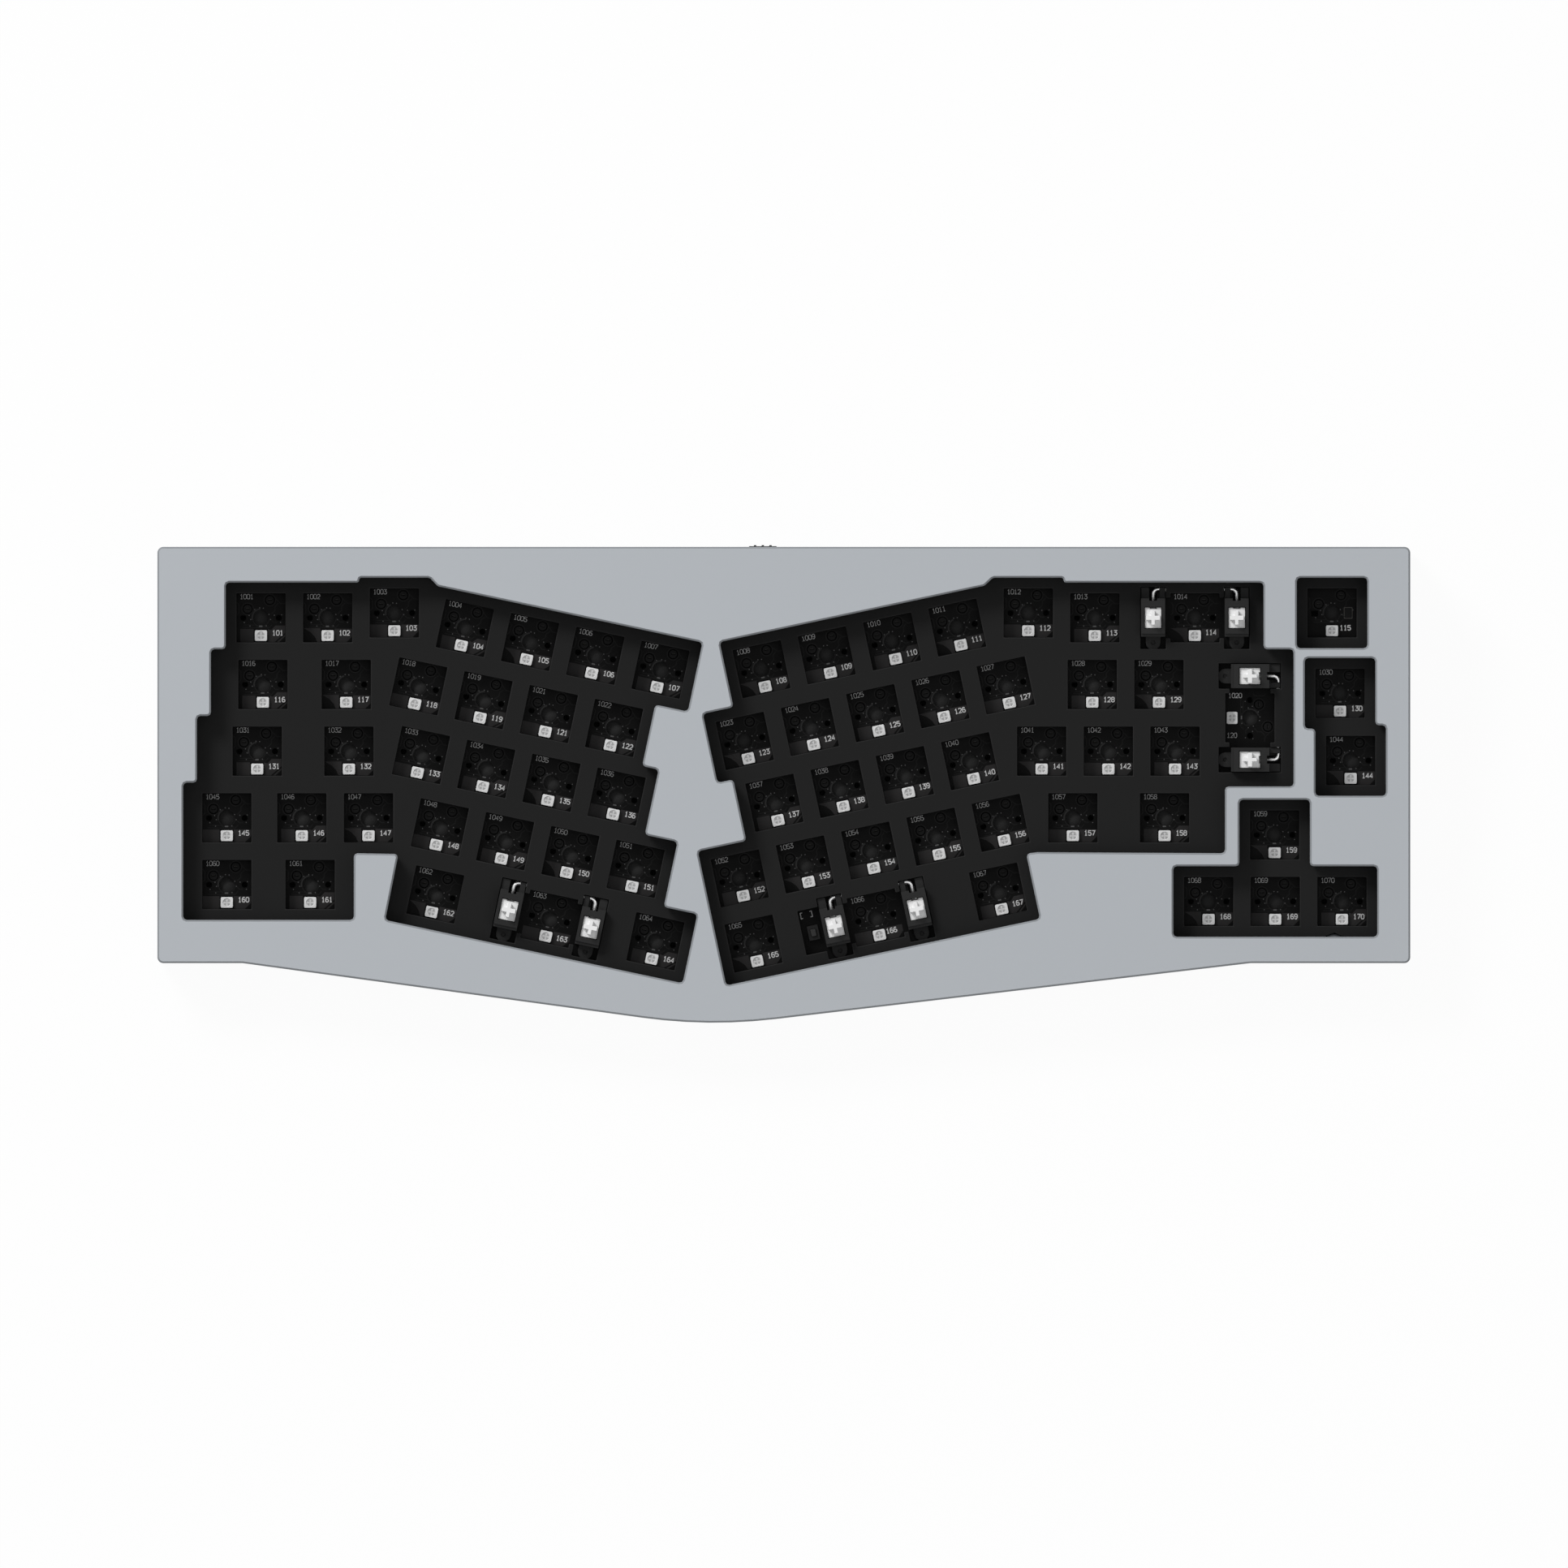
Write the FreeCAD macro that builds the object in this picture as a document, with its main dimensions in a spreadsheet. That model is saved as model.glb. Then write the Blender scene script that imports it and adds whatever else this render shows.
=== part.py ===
# Angled ergonomic keyboard, bare kit: case, switch plate, board, sockets, lamps and four wide-key stabilisers.
# Units are millimetres and degrees. Every piece is drawn in the switch plate's own frame: X to the right,
# Y along the plate to the back, Z square to the plate, with zero on the plate's top face. The last step
# tilts the whole keyboard by its typing angle and stands it on its feet.
import FreeCAD, Part
import collections
import math
import os

import Sketcher

V = FreeCAD.Vector
UP = V(0, 0, 1)
RIGHT = V(1, 0, 0)

os.makedirs("parts", exist_ok=True)
doc = FreeCAD.newDocument("angled_keyboard")

DIMENSIONS = (
    # The whole keyboard
    ("typing_angle", 5.2),
    ("plate_centre_height", 19.9),
    # Outline of the case, seen square to the plate: its borders beyond the wells, and its front edge
    ("back_edge", 67.9),
    ("left_border", 7.374),
    ("right_border", 6.94),
    ("back_border", 8.804),
    ("front_border", 7.535),
    ("apex_border", 11.82),
    ("front_flat_left", 24.3),
    ("front_flat_right", 45.6),
    ("apex_x", -21.3),
    ("apex_radius", 150.0),
    ("corner_radius", 1.7),
    ("edge_chamfer", 0.5),
    ("bottom_chamfer", 1.2),
    # Heights of the layers
    ("bezel_height", 8.0),
    ("plate_thickness", 1.5),
    ("plate_to_board", 3.5),
    ("board_thickness", 1.6),
    ("gasket_thickness", 1.5),
    ("seam_drop", 4.5),
    ("floor_drop", 10.6),
    ("case_foam_thickness", 1.5),
    # Walls and clearances seen from above
    ("wall", 3.0),
    ("shell_gap", 0.2),
    ("ledge_width", 4.6),
    ("board_gap", 0.5),
    ("plate_inset", 6.0),
    ("tab_inset", 3.6),
    ("tab_length", 30.0),
    ("gasket_length", 24.0),
    ("gasket_width", 3.6),
    ("well_gap", 0.55),
    ("well_radius", 1.0),
    # Key field
    ("key_pitch", 19.05),
    ("window_side", 14.0),
    ("foam_window_gap", 0.4),
    ("post_hole", 4.3),
    ("left_block_across", 3.569),
    ("left_block_back", 3.8457),
    ("right_block_across", 8.0157),
    ("right_block_back", 3.2299),
    ("block_angle", 12.0),
    ("enter_right", 15.963),
    ("enter_upper_width", 1.5),
    ("enter_lower_width", 1.25),
    # Lamps and sockets
    ("led_length", 3.5),
    ("led_width", 3.1),
    ("led_height", 1.1),
    ("led_offset", 5.1),
    ("socket_height", 1.85),
    # Case screws and their bosses
    ("screw_inset", 4.3),
    ("corner_screw_inset", 21.7),
    ("back_screw_left_x", -62.0),
    ("back_screw_right_x", 22.0),
    ("front_screw_left_x", -80.0),
    ("front_screw_right_x", 50.0),
    ("boss_radius", 3.4),
    ("boss_gap", 0.3),
    ("notch_radius", 4.4),
    ("pillar_radius", 5.0),
    ("screw_radius", 1.25),
    ("screw_hole_radius", 1.45),
    ("screw_head_radius", 2.4),
    ("screw_head_height", 1.6),
    ("screw_head_gap", 0.3),
    ("screw_seat", 4.0),
    ("screw_grip", 6.0),
    # Spacers between plate and board
    ("spacer_radius", 2.2),
    ("spacer_screw_radius", 0.9),
    ("spacer_head_radius", 1.8),
    ("spacer_head_height", 0.8),
    # Stabilisers
    ("stem_spread", 11.94),
    ("stem_width", 4.7),
    ("stem_length", 5.87),
    ("stem_gap", 0.15),
    ("stem_shoulder", 2.4),
    ("stem_foot_gap", 0.15),
    ("cross_span", 4.0),
    ("cross_arm_x", 1.0),
    ("cross_arm_y", 1.26),
    ("cross_height", 3.8),
    ("housing_width", 6.9),
    ("housing_front", 5.4),
    ("housing_back", 5.6),
    ("housing_height", 3.2),
    ("housing_step", 0.8),
    ("cheek_back", 8.7),
    ("cheek_drop", 0.9),
    ("lug_offset", 7.1),
    ("lug_radius", 2.15),
    ("lug_drop", 1.9),
    ("lug_pit_radius", 0.65),
    ("lug_pit_depth", 0.6),
    ("stabiliser_window_width", 7.2),
    ("stabiliser_window_back", 8.8),
    ("stabiliser_window_front", 8.9),
    ("stabiliser_strip", 11.6),
    ("wire_radius", 0.7),
    ("wire_bend", 1.6),
    ("wire_axis_y", 8.2),
    ("wire_axis_drop", 2.5),
    ("wire_tip_y", -1.6),
    ("wire_rest_angle", 5.6),
    ("wire_slot_gap", 0.2),
    ("stabiliser_screw_radius", 0.9),
    ("stabiliser_head_radius", 1.9),
    ("stabiliser_head_height", 0.8),
    ("stabiliser_screw_reach", 2.0),
    # Window and switch for the reset button, beside the right space key
    ("reset_window_x", -21.55),
    ("reset_window_length", 12.8),
    ("reset_x", -18.3),
    ("reset_y", -0.5),
    ("reset_width", 3.2),
    ("reset_length", 4.2),
    ("reset_height", 1.6),
    ("reset_button_width", 1.5),
    ("reset_button_length", 2.1),
    ("reset_button_height", 0.7),
    ("reset_travel", 0.25),
    ("reset_gap", 0.06),
    # Back edge: the inlet of the cord and the mode slider
    ("bay_left", -32.0),
    ("bay_right", 4.5),
    ("bay_wall", 2.6),
    ("board_tongue_gap", 0.8),
    ("usb_x", -21.0),
    ("usb_width", 8.94),
    ("usb_height", 3.26),
    ("usb_depth", 7.35),
    ("usb_corner", 1.0),
    ("usb_wall", 0.35),
    ("usb_inset", 2.3),
    ("usb_opening_gap", 0.35),
    ("plug_recess_width", 12.4),
    ("plug_recess_height", 7.2),
    ("plug_recess_depth", 1.3),
    ("mode_x", -6.0),
    ("mode_drop", 8.3),
    ("mode_body_width", 8.6),
    ("mode_body_depth", 3.5),
    ("mode_body_height", 3.2),
    ("mode_body_inset", 5.0),
    ("knob_width", 7.9),
    ("knob_height", 2.4),
    ("knob_proud", 0.2),
    ("ridge_proud", 0.3),
    ("ridge_width", 0.7),
    ("ridge_spacing", 2.2),
    ("knob_gap", 0.3),
    ("slider_travel", 2.0),
    ("lever_width", 1.4),
    ("lever_height", 1.0),
    ("lever_reach", 2.0),
    ("lever_gap", 0.15),
    # Chips under the board
    ("controller_side", 7.0),
    ("controller_height", 1.2),
    ("driver_side", 5.0),
    ("driver_height", 0.9),
    # Rubber feet
    ("foot_height", 2.8),
    ("foot_recess", 1.0),
    ("foot_gap", 0.15),
    ("foot_length", 34.0),
    ("foot_width", 9.0),
    ("foot_corner", 2.2),
    ("foot_side_inset", 32.9),
    ("front_foot_inset", 12.0),
    ("back_foot_inset", 9.9),
)

# The key rows: block of the row, left edge of its first key, its distance behind the block's origin, both in
# key widths, and the width of each key from left to right.
ROWS = (
    ("number_left", "straight", 0.012, 4.0, (1, 1)),
    ("number_left_end", "straight", 2.012, 4.073, (1,)),
    ("top_left", "straight", -0.209, 3.0, (1.5, 1)),
    ("home_left", "straight", -0.419, 2.0, (1.75, 1)),
    ("shift_left", "straight", -0.625, 1.0, (1.25, 1, 1)),
    ("base_left", "straight", -0.625, 0.0, (1.25, 1.25)),
    ("left_number", "left", -0.5, 0.0, (1, 1, 1, 1)),
    ("left_top", "left", -1.0, -1.0, (1, 1, 1, 1)),
    ("left_home", "left", -0.747, -2.0, (1, 1, 1, 1)),
    ("left_shift", "left", -0.245, -3.0, (1, 1, 1, 1)),
    ("left_base", "left", -0.229, -4.0, (1.25, 2.25, 1)),
    ("right_number", "right", -0.5, 0.0, (1, 1, 1, 1)),
    ("right_top", "right", -0.97, -1.0, (1, 1, 1, 1, 1)),
    ("right_home", "right", -0.728, -2.0, (1, 1, 1, 1)),
    ("right_shift", "right", -1.472, -3.0, (1, 1, 1, 1, 1)),
    ("right_base", "right", -1.474, -4.0, (1, 2.75, 1)),
    ("number_right_start", "straight", 11.515, 4.073, (1,)),
    ("number_right", "straight", 12.513, 4.0, (1, 2)),
    ("top_right", "straight", 12.475, 3.0, (1, 1)),
    ("home_right", "straight", 11.716, 2.0, (1, 1, 1)),
    ("shift_right", "straight", 12.184, 1.0, (1, 1.75)),
    ("knob", "straight", 16.069, 4.073, (1,)),
    ("page_up", "straight", 16.189, 2.868, (1,)),
    ("page_down", "straight", 16.348, 1.86, (1,)),
    ("arrow_up", "straight", 15.208, 0.745, (1,)),
    ("arrows", "straight", 14.218, -0.253, (1, 1, 1)),
)

# The rows that share one well of the top case, and the row ends that are bridged across the turn of a block.
WELLS = (
    (
        "left_well",
        ("number_left", "number_left_end", "top_left", "home_left", "shift_left", "base_left",
         "left_number", "left_top", "left_home", "left_shift", "left_base"),
        (("number_left", "number_left_end"), ("number_left_end", "left_number"), ("top_left", "left_top"),
         ("home_left", "left_home"), ("shift_left", "left_shift")),
    ),
    (
        "right_well",
        ("right_number", "right_top", "right_home", "right_shift", "right_base", "number_right_start",
         "number_right", "top_right", "home_right", "shift_right", "enter_upper", "enter_lower"),
        (("right_number", "number_right_start"), ("number_right_start", "number_right"),
         ("right_top", "top_right"), ("right_home", "home_right"), ("right_shift", "shift_right")),
    ),
    ("knob_well", ("knob",), ()),
    ("page_well", ("page_up", "page_down"), ()),
    ("arrow_well", ("arrow_up", "arrows"), ()),
)

# Sizes that follow from others. The case is as wide and as deep as its wells and its borders; the straight
# block's origin lies a border inside it, and the turned blocks lie some key widths from that.
FOLLOWING = (
    ("case_width",
     "left_border + right_border + 2 * well_gap + (page_down_row_edge + 1 - shift_left_row_edge) * key_pitch"),
    ("side_length",
     "back_border + front_border + 2 * well_gap"
     " + (number_right_start_row_line + 1 - arrows_row_line) * key_pitch"),
    ("straight_x", "left_border + well_gap - case_width / 2 - shift_left_row_edge * key_pitch"),
    ("straight_y", "back_edge - back_border - well_gap - (number_right_start_row_line + 0.5) * key_pitch"),
    ("left_x", "straight_x + left_block_across * key_pitch"),
    ("left_y", "straight_y + left_block_back * key_pitch"),
    ("right_x", "straight_x + right_block_across * key_pitch"),
    ("right_y", "straight_y + right_block_back * key_pitch"),
    ("lowest_well_y",
     "right_y + sin(block_angle) * (right_base_row_edge * key_pitch - well_gap)"
     " + cos(block_angle) * ((right_base_row_line - 0.5) * key_pitch - well_gap)"),
    ("apex_drop", "back_edge - side_length - lowest_well_y + apex_border"),
    ("corner_screw_x", "case_width / 2 - corner_screw_inset"),
    ("foot_x", "case_width / 2 - foot_side_inset"),
    ("front_foot_y", "back_edge - side_length + front_foot_inset"),
    ("back_foot_y", "back_edge - back_foot_inset"),
)

# Places of the gasket tabs: the case edge they lie on and how far along it from the frame's origin, as a share
# of the case's width, or of its side's length.
TABS = (
    ("back", -0.313), ("back", 0.1677), ("back", 0.3186),
    ("left", 0.101), ("right", 0.101),
    ("front_left", -0.3298), ("front_left", -0.1258),
    ("front_right", 0.0419), ("front_right", 0.2571),
)

# Places, in key widths from the frame's origin: the spacers between plate and board, under the bars of the top
# case, and the chips under the board.
SPACER_PLACES = ((-1.118, 2.362), (-8.661, 2.1), (8.451, -0.682), (-6.22, -1.522), (-1.118, -2.861), (4.619, -1.89))
CONTROLLER_PLACE = (-1.118, 1.417)
DRIVER_PLACES = ((4.094, -1.417), (5.144, -1.417))

# The keys with a stabiliser, by their row and their number in it. The enter key has no row of its own.
STABILISED = {("number_right", 1): "backspace", ("left_base", 1): "left_space", ("right_base", 1): "right_space"}


sheet = doc.addObject("Spreadsheet::Sheet", "Sizes")


def write_sheet():
    """Put every driving dimension in the sheet, with its name beside it and as its alias."""
    entries = list(DIMENSIONS)
    for name, block, edge, line, widths in ROWS:
        entries.append((f"{name}_row_edge", edge))
        entries.append((f"{name}_row_line", line))
    for line, (name, number) in enumerate(entries, start=1):
        sheet.set(f"A{line}", name)
        sheet.set(f"B{line}", str(number))
        sheet.setAlias(f"B{line}", name)
    doc.recompute()
    for line, (name, formula) in enumerate(FOLLOWING, start=len(entries) + 1):
        sheet.set(f"A{line}", name)
        sheet.set(f"B{line}", f"={formula}")
        sheet.setAlias(f"B{line}", name)
        doc.recompute()


write_sheet()


def size(name):
    """The number in one named cell."""
    return float(sheet.get(name))


def value(expression):
    """The number that an expression on the sheet's cells gives."""
    return float(sheet.evalExpression(expression))


LEFT_SLOPE = "atan(Sizes.apex_drop / (Sizes.apex_x + Sizes.case_width / 2 - Sizes.front_flat_left))"
RIGHT_SLOPE = "atan(Sizes.apex_drop / (Sizes.case_width / 2 - Sizes.front_flat_right - Sizes.apex_x))"
FRONT_EDGE = "Sizes.back_edge - Sizes.side_length"
LEDGE_INSET = "Sizes.wall + Sizes.shell_gap + Sizes.ledge_width"
BOARD_INSET = f"{LEDGE_INSET} + Sizes.board_gap"
BOARD_TOP = "-Sizes.plate_thickness - Sizes.plate_to_board"
BOARD_BOTTOM = f"{BOARD_TOP} - Sizes.board_thickness"
LEDGE_TOP = "-Sizes.plate_thickness - Sizes.gasket_thickness"


def outline(inset):
    """Corners of the case outline moved inwards, as expressions, clockwise from the back left corner."""
    both = f"(tan({LEFT_SLOPE}) + tan({RIGHT_SLOPE}))"
    shift_x = f"(1 / cos({LEFT_SLOPE}) - 1 / cos({RIGHT_SLOPE})) / {both}"
    shift_y = f"(tan({RIGHT_SLOPE}) / cos({LEFT_SLOPE}) + tan({LEFT_SLOPE}) / cos({RIGHT_SLOPE})) / {both}"
    left = f"-Sizes.case_width / 2 + ({inset})"
    right = f"Sizes.case_width / 2 - ({inset})"
    back = f"Sizes.back_edge - ({inset})"
    front = f"{FRONT_EDGE} + ({inset})"
    left_turn = f"-Sizes.case_width / 2 + Sizes.front_flat_left + ({inset}) * tan({LEFT_SLOPE} / 2)"
    right_turn = f"Sizes.case_width / 2 - Sizes.front_flat_right - ({inset}) * tan({RIGHT_SLOPE} / 2)"
    apex_x = f"Sizes.apex_x + ({inset}) * {shift_x}"
    apex_y = f"{FRONT_EDGE} - Sizes.apex_drop + ({inset}) * {shift_y}"
    return [(left, back), (right, back), (right, front), (right_turn, front),
            (apex_x, apex_y), (left_turn, front), (left, front)]


def rectangle(x_low, x_high, y_low, y_high):
    """Corners of an upright rectangle, as expressions."""
    return [(x_low, y_low), (x_high, y_low), (x_high, y_high), (x_low, y_high)]


def centred(x_middle, y_middle, width, length):
    """Corners of a rectangle round a middle point, as expressions."""
    return rectangle(f"{x_middle} - ({width}) / 2", f"{x_middle} + ({width}) / 2",
                     f"{y_middle} - ({length}) / 2", f"{y_middle} + ({length}) / 2")


def regular(x, y, radius, sides):
    """Corners of a regular polygon round a middle point, as expressions."""
    turns = [360 * number / sides for number in range(sides)]
    return [(f"{x} + ({radius}) * cos({turn})", f"{y} + ({radius}) * sin({turn})") for turn in turns]


def new_body(name):
    body = doc.addObject("PartDesign::Body", name)
    body.Label = name
    return body


def new_sketch(body, name, height="0", role="XY_Plane", polygons=(), circles=()):
    """A sketch on one of the body's own planes, whose corners and radii are bound to the sheet."""
    sketch = body.newObject("Sketcher::SketchObject", name)
    plane = next(item for item in body.Origin.OriginFeatures if item.Role == role)
    sketch.AttachmentSupport = (plane, [""])
    sketch.MapMode = "FlatFace"
    sketch.setExpression("AttachmentOffset.Base.z", height)
    for corners in polygons:
        add_polygon(sketch, corners)
    for x, y, radius in circles:
        add_circle(sketch, x, y, radius)
    return sketch


def bind(sketch, kind, point, expression):
    """Hold one point of a sketch at a distance from the sketch's origin."""
    geometry, end = point
    constraint = Sketcher.Constraint(kind, -1, 1, geometry, end, value(expression))
    index = sketch.addConstraint(constraint)
    sketch.setExpression(f"Constraints[{index}]", expression)


def add_polygon(sketch, corners):
    points = [V(value(x), value(y), 0) for x, y in corners]
    count = len(points)
    first = sketch.GeometryCount
    for number, start in enumerate(points):
        sketch.addGeometry(Part.LineSegment(start, points[(number + 1) % count]), False)
    for number in range(count):
        following = first + (number + 1) % count
        sketch.addConstraint(Sketcher.Constraint("Coincident", first + number, 2, following, 1))
    for number, (x, y) in enumerate(corners):
        bind(sketch, "DistanceX", (first + number, 1), x)
        bind(sketch, "DistanceY", (first + number, 1), y)


def add_circle(sketch, x, y, radius):
    circle = Part.Circle(V(value(x), value(y), 0), UP, value(radius))
    index = sketch.addGeometry(circle, False)
    bind(sketch, "DistanceX", (index, 3), x)
    bind(sketch, "DistanceY", (index, 3), y)
    constraint = sketch.addConstraint(Sketcher.Constraint("Radius", index, value(radius)))
    sketch.setExpression(f"Constraints[{constraint}]", radius)


def add_pad(body, sketch, length, name="pad", downwards=False):
    pad = body.newObject("PartDesign::Pad", f"{body.Name}_{name}")
    pad.Profile = sketch
    pad.setExpression("Length", length)
    pad.Reversed = downwards
    return pad


def add_pocket(body, sketch, length, name="pocket", upwards=False):
    pocket = body.newObject("PartDesign::Pocket", f"{body.Name}_{name}")
    pocket.Profile = sketch
    pocket.setExpression("Length", length)
    pocket.Reversed = upwards
    return pocket


def simple_pad(name, polygons, low, height, circles=()):
    """A body of one upward pad over polygons and circles."""
    body = new_body(name)
    sketch = new_sketch(body, f"{name}_profile", low, polygons=polygons, circles=circles)
    add_pad(body, sketch, height)
    return body


def upright_edges(shape, points):
    """Names of the shape's edges that stand upright on the given points."""
    names = []
    for number, edge in enumerate(shape.Edges, start=1):
        start, end = edge.Vertexes[0].Point, edge.Vertexes[-1].Point
        stands = abs(start.x - end.x) < 1e-4 and abs(start.y - end.y) < 1e-4 and abs(start.z - end.z) > 0.5
        near = any(math.hypot(start.x - x, start.y - y) < 1e-3 for x, y in points)
        if stands and near:
            names.append(f"Edge{number}")
    return names


def round_corners(body, feature, inset, radius, chosen, name):
    """Round the upright edges on some corners of the outline at one inset."""
    doc.recompute()
    corners = [outline(inset)[CORNERS.index(corner)] for corner in chosen]
    points = [(value(x), value(y)) for x, y in corners]
    fillet = body.newObject("PartDesign::Fillet", f"{body.Name}_{name}")
    fillet.Base = (feature, upright_edges(feature.Shape, points))
    fillet.setExpression("Radius", radius)
    return fillet


# The outline's corners in their order, and those that are rounded.
CORNERS = ("back_left", "back_right", "front_right", "right_turn", "apex", "left_turn", "front_left")
SQUARE_CORNERS = ("back_left", "back_right", "front_right", "front_left")
APEX = ("apex",)


def primitive(kind, name, place=None, **lengths):
    """A Part primitive whose lengths are expressions on the sheet."""
    item = doc.addObject(f"Part::{kind}", name)
    for key, expression in lengths.items():
        item.setExpression(key, expression)
    if place is not None:
        item.Placement = place
    return item


def box(name, x_low, x_high, y_low, y_high, z_low, z_high, place=None):
    """A box between six expressions, drawn in a local frame at place."""
    item = primitive("Box", name, Length=f"({x_high}) - ({x_low})", Width=f"({y_high}) - ({y_low})",
                     Height=f"({z_high}) - ({z_low})")
    corner = FreeCAD.Placement(V(value(x_low), value(y_low), value(z_low)), FreeCAD.Rotation())
    item.Placement = corner if place is None else place.multiply(corner)
    return item


def post(name, x, y, radius, low, high, sides=8):
    """An upright post between two heights, with flat sides that a circle of the radius passes through."""
    place = FreeCAD.Placement(V(x, y, value(low)), FreeCAD.Rotation())
    item = primitive("Prism", name, place, Circumradius=radius, Height=f"({high}) - ({low})")
    item.Polygon = sides
    return item


def posts(name, radius, low, high, sides=8):
    """Such posts on all case screws, in one compound."""
    items = [post(f"{name}_{number}", x, y, radius, low, high, sides)
             for number, (x, y) in enumerate(SCREWS, start=1)]
    return compound(name, items)


def compound(name, items):
    group = doc.addObject("Part::Compound", name)
    group.Links = items
    return group


def fuse(name, items):
    joined = doc.addObject("Part::MultiFuse", name)
    joined.Shapes = items
    return joined


def cut(name, base, tool):
    result = doc.addObject("Part::Cut", name)
    result.Base = base
    result.Tool = tool
    result.Label = name
    return result


def feature(name, shape, place=None):
    """A node whose shape is made by Part's own functions from the sheet's sizes."""
    item = doc.addObject("Part::Feature", name)
    item.Shape = shape
    item.Label = name
    if place is not None:
        item.Placement = place
    return item


# Key layout

Key = collections.namedtuple("Key", "row place width stabiliser")
BLOCKS = {
    "straight": FreeCAD.Placement(V(size("straight_x"), size("straight_y"), 0), FreeCAD.Rotation()),
    "left": FreeCAD.Placement(V(size("left_x"), size("left_y"), 0), FreeCAD.Rotation(UP, -size("block_angle"))),
    "right": FreeCAD.Placement(V(size("right_x"), size("right_y"), 0), FreeCAD.Rotation(UP, size("block_angle"))),
}
PITCH = size("key_pitch")
ENTER_LINE = (size("top_right_row_line") + size("home_right_row_line")) / 2


def lay_out_keys():
    """Every key switch with its place on the plate, its width and its stabiliser's name, if any."""
    keys = []
    for row, block, edge, line, widths in ROWS:
        left = size(f"{row}_row_edge")
        for number, width in enumerate(widths):
            offset = V((left + width / 2) * PITCH, size(f"{row}_row_line") * PITCH, 0)
            place = BLOCKS[block].multiply(FreeCAD.Placement(offset, FreeCAD.Rotation()))
            keys.append(Key(row, place, width, STABILISED.get((row, number))))
            left += width
    enter_x = (size("enter_right") - size("enter_lower_width") / 2) * PITCH
    turned = FreeCAD.Placement(V(enter_x, ENTER_LINE * PITCH, 0), FreeCAD.Rotation(UP, -90))
    keys.append(Key("enter", BLOCKS["straight"].multiply(turned), 2, "enter"))
    return keys


SPACERS = [(across * PITCH, back * PITCH) for across, back in SPACER_PLACES]
CONTROLLER = [share * PITCH for share in CONTROLLER_PLACE]
DRIVERS = [(across * PITCH, back * PITCH) for across, back in DRIVER_PLACES]


KEYS = lay_out_keys()
WIDE_KEYS = {key.stabiliser: key for key in KEYS if key.stabiliser}


def row_corners(name):
    """The four corners of a row's clear space, each a key gap outside its keys, on the plate."""
    gap = size("well_gap")
    if name.startswith("enter"):
        block = "straight"
        right = size("enter_right")
        left = right - size(f"{name}_width")
        line = size("top_right_row_line" if name == "enter_upper" else "home_right_row_line")
    else:
        block, widths = next((entry[1], entry[4]) for entry in ROWS if entry[0] == name)
        left = size(f"{name}_row_edge")
        right = left + sum(widths)
        line = size(f"{name}_row_line")
    low_x, high_x = left * PITCH - gap, right * PITCH + gap
    low_y, high_y = (line - 0.5) * PITCH - gap, (line + 0.5) * PITCH + gap
    corners = (V(low_x, low_y, 0), V(high_x, low_y, 0), V(high_x, high_y, 0), V(low_x, high_y, 0))
    return [BLOCKS[block].multVec(corner) for corner in corners]


def bridge_corners(left_row, right_row):
    """The corners round the gap between the right end of one row and the left end of the next."""
    left = row_corners(left_row)
    right = row_corners(right_row)
    points = [left[1], left[2], right[0], right[3]]
    middle = (points[0] + points[1] + points[2] + points[3]) * 0.25
    points.sort(key=lambda point: math.atan2(point.y - middle.y, point.x - middle.x))
    return points


def face_of(points):
    return Part.Face(Part.makePolygon(points + points[:1]))


def without_short_sides(points, shortest):
    """The corners of a polygon, with the two ends of every side that is too short drawn into one."""
    points = list(points)
    while True:
        lengths = [(points[number].distanceToPoint(points[number - 1]), number) for number in range(len(points))]
        length, number = min(lengths)
        if length >= shortest:
            return points
        points[number] = (points[number] + points[number - 1]) * 0.5
        del points[number - 1]


def rounded_corner(corner, before, after, radius):
    """Points of a corner rounded in flats of up to half a square turn; a slight turn stays sharp."""
    back = (before - corner).normalize()
    onwards = (after - corner).normalize()
    turn = math.pi - back.getAngle(onwards)
    flats = round(turn / math.radians(40))
    if flats == 0:
        return [corner]
    reach = min(radius * math.tan(turn / 2), 0.45 * corner.distanceToPoint(before),
                0.45 * corner.distanceToPoint(after))
    radius = reach / math.tan(turn / 2)
    centre = corner + (back + onwards).normalize() * (radius / math.cos(turn / 2))
    start = corner + back * reach - centre
    sense = 1 if back.cross(onwards).z < 0 else -1
    turns = [FreeCAD.Rotation(UP, math.degrees(sense * turn * number / flats)) for number in range(flats + 1)]
    return [centre + rotation.multVec(start) for rotation in turns]


def rounded(points, radius):
    """The corners of a polygon with each of them rounded in flats."""
    result = []
    for number, corner in enumerate(points):
        result += rounded_corner(corner, points[number - 1], points[(number + 1) % len(points)], radius)
    return result


def widened(points, growth):
    """The corners of a polygon with every side moved outwards; the corners run anticlockwise."""
    result = []
    for number, corner in enumerate(points):
        before = (corner - points[number - 1]).normalize()
        after = (points[(number + 1) % len(points)] - corner).normalize()
        normals = V(before.y, -before.x, 0) + V(after.y, -after.x, 0)
        result.append(corner + normals * (growth / (1 + before.dot(after))))
    return result


def stacked(rings):
    """A solid with flat sides between polygons of the same count, one above the other."""
    faces = [face_of(rings[0]), face_of(rings[-1])]
    for low, high in zip(rings, rings[1:]):
        for number in range(len(low)):
            faces.append(face_of([low[number - 1], low[number], high[number], high[number - 1]]))
    return Part.makeSolid(Part.makeShell(faces))


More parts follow.
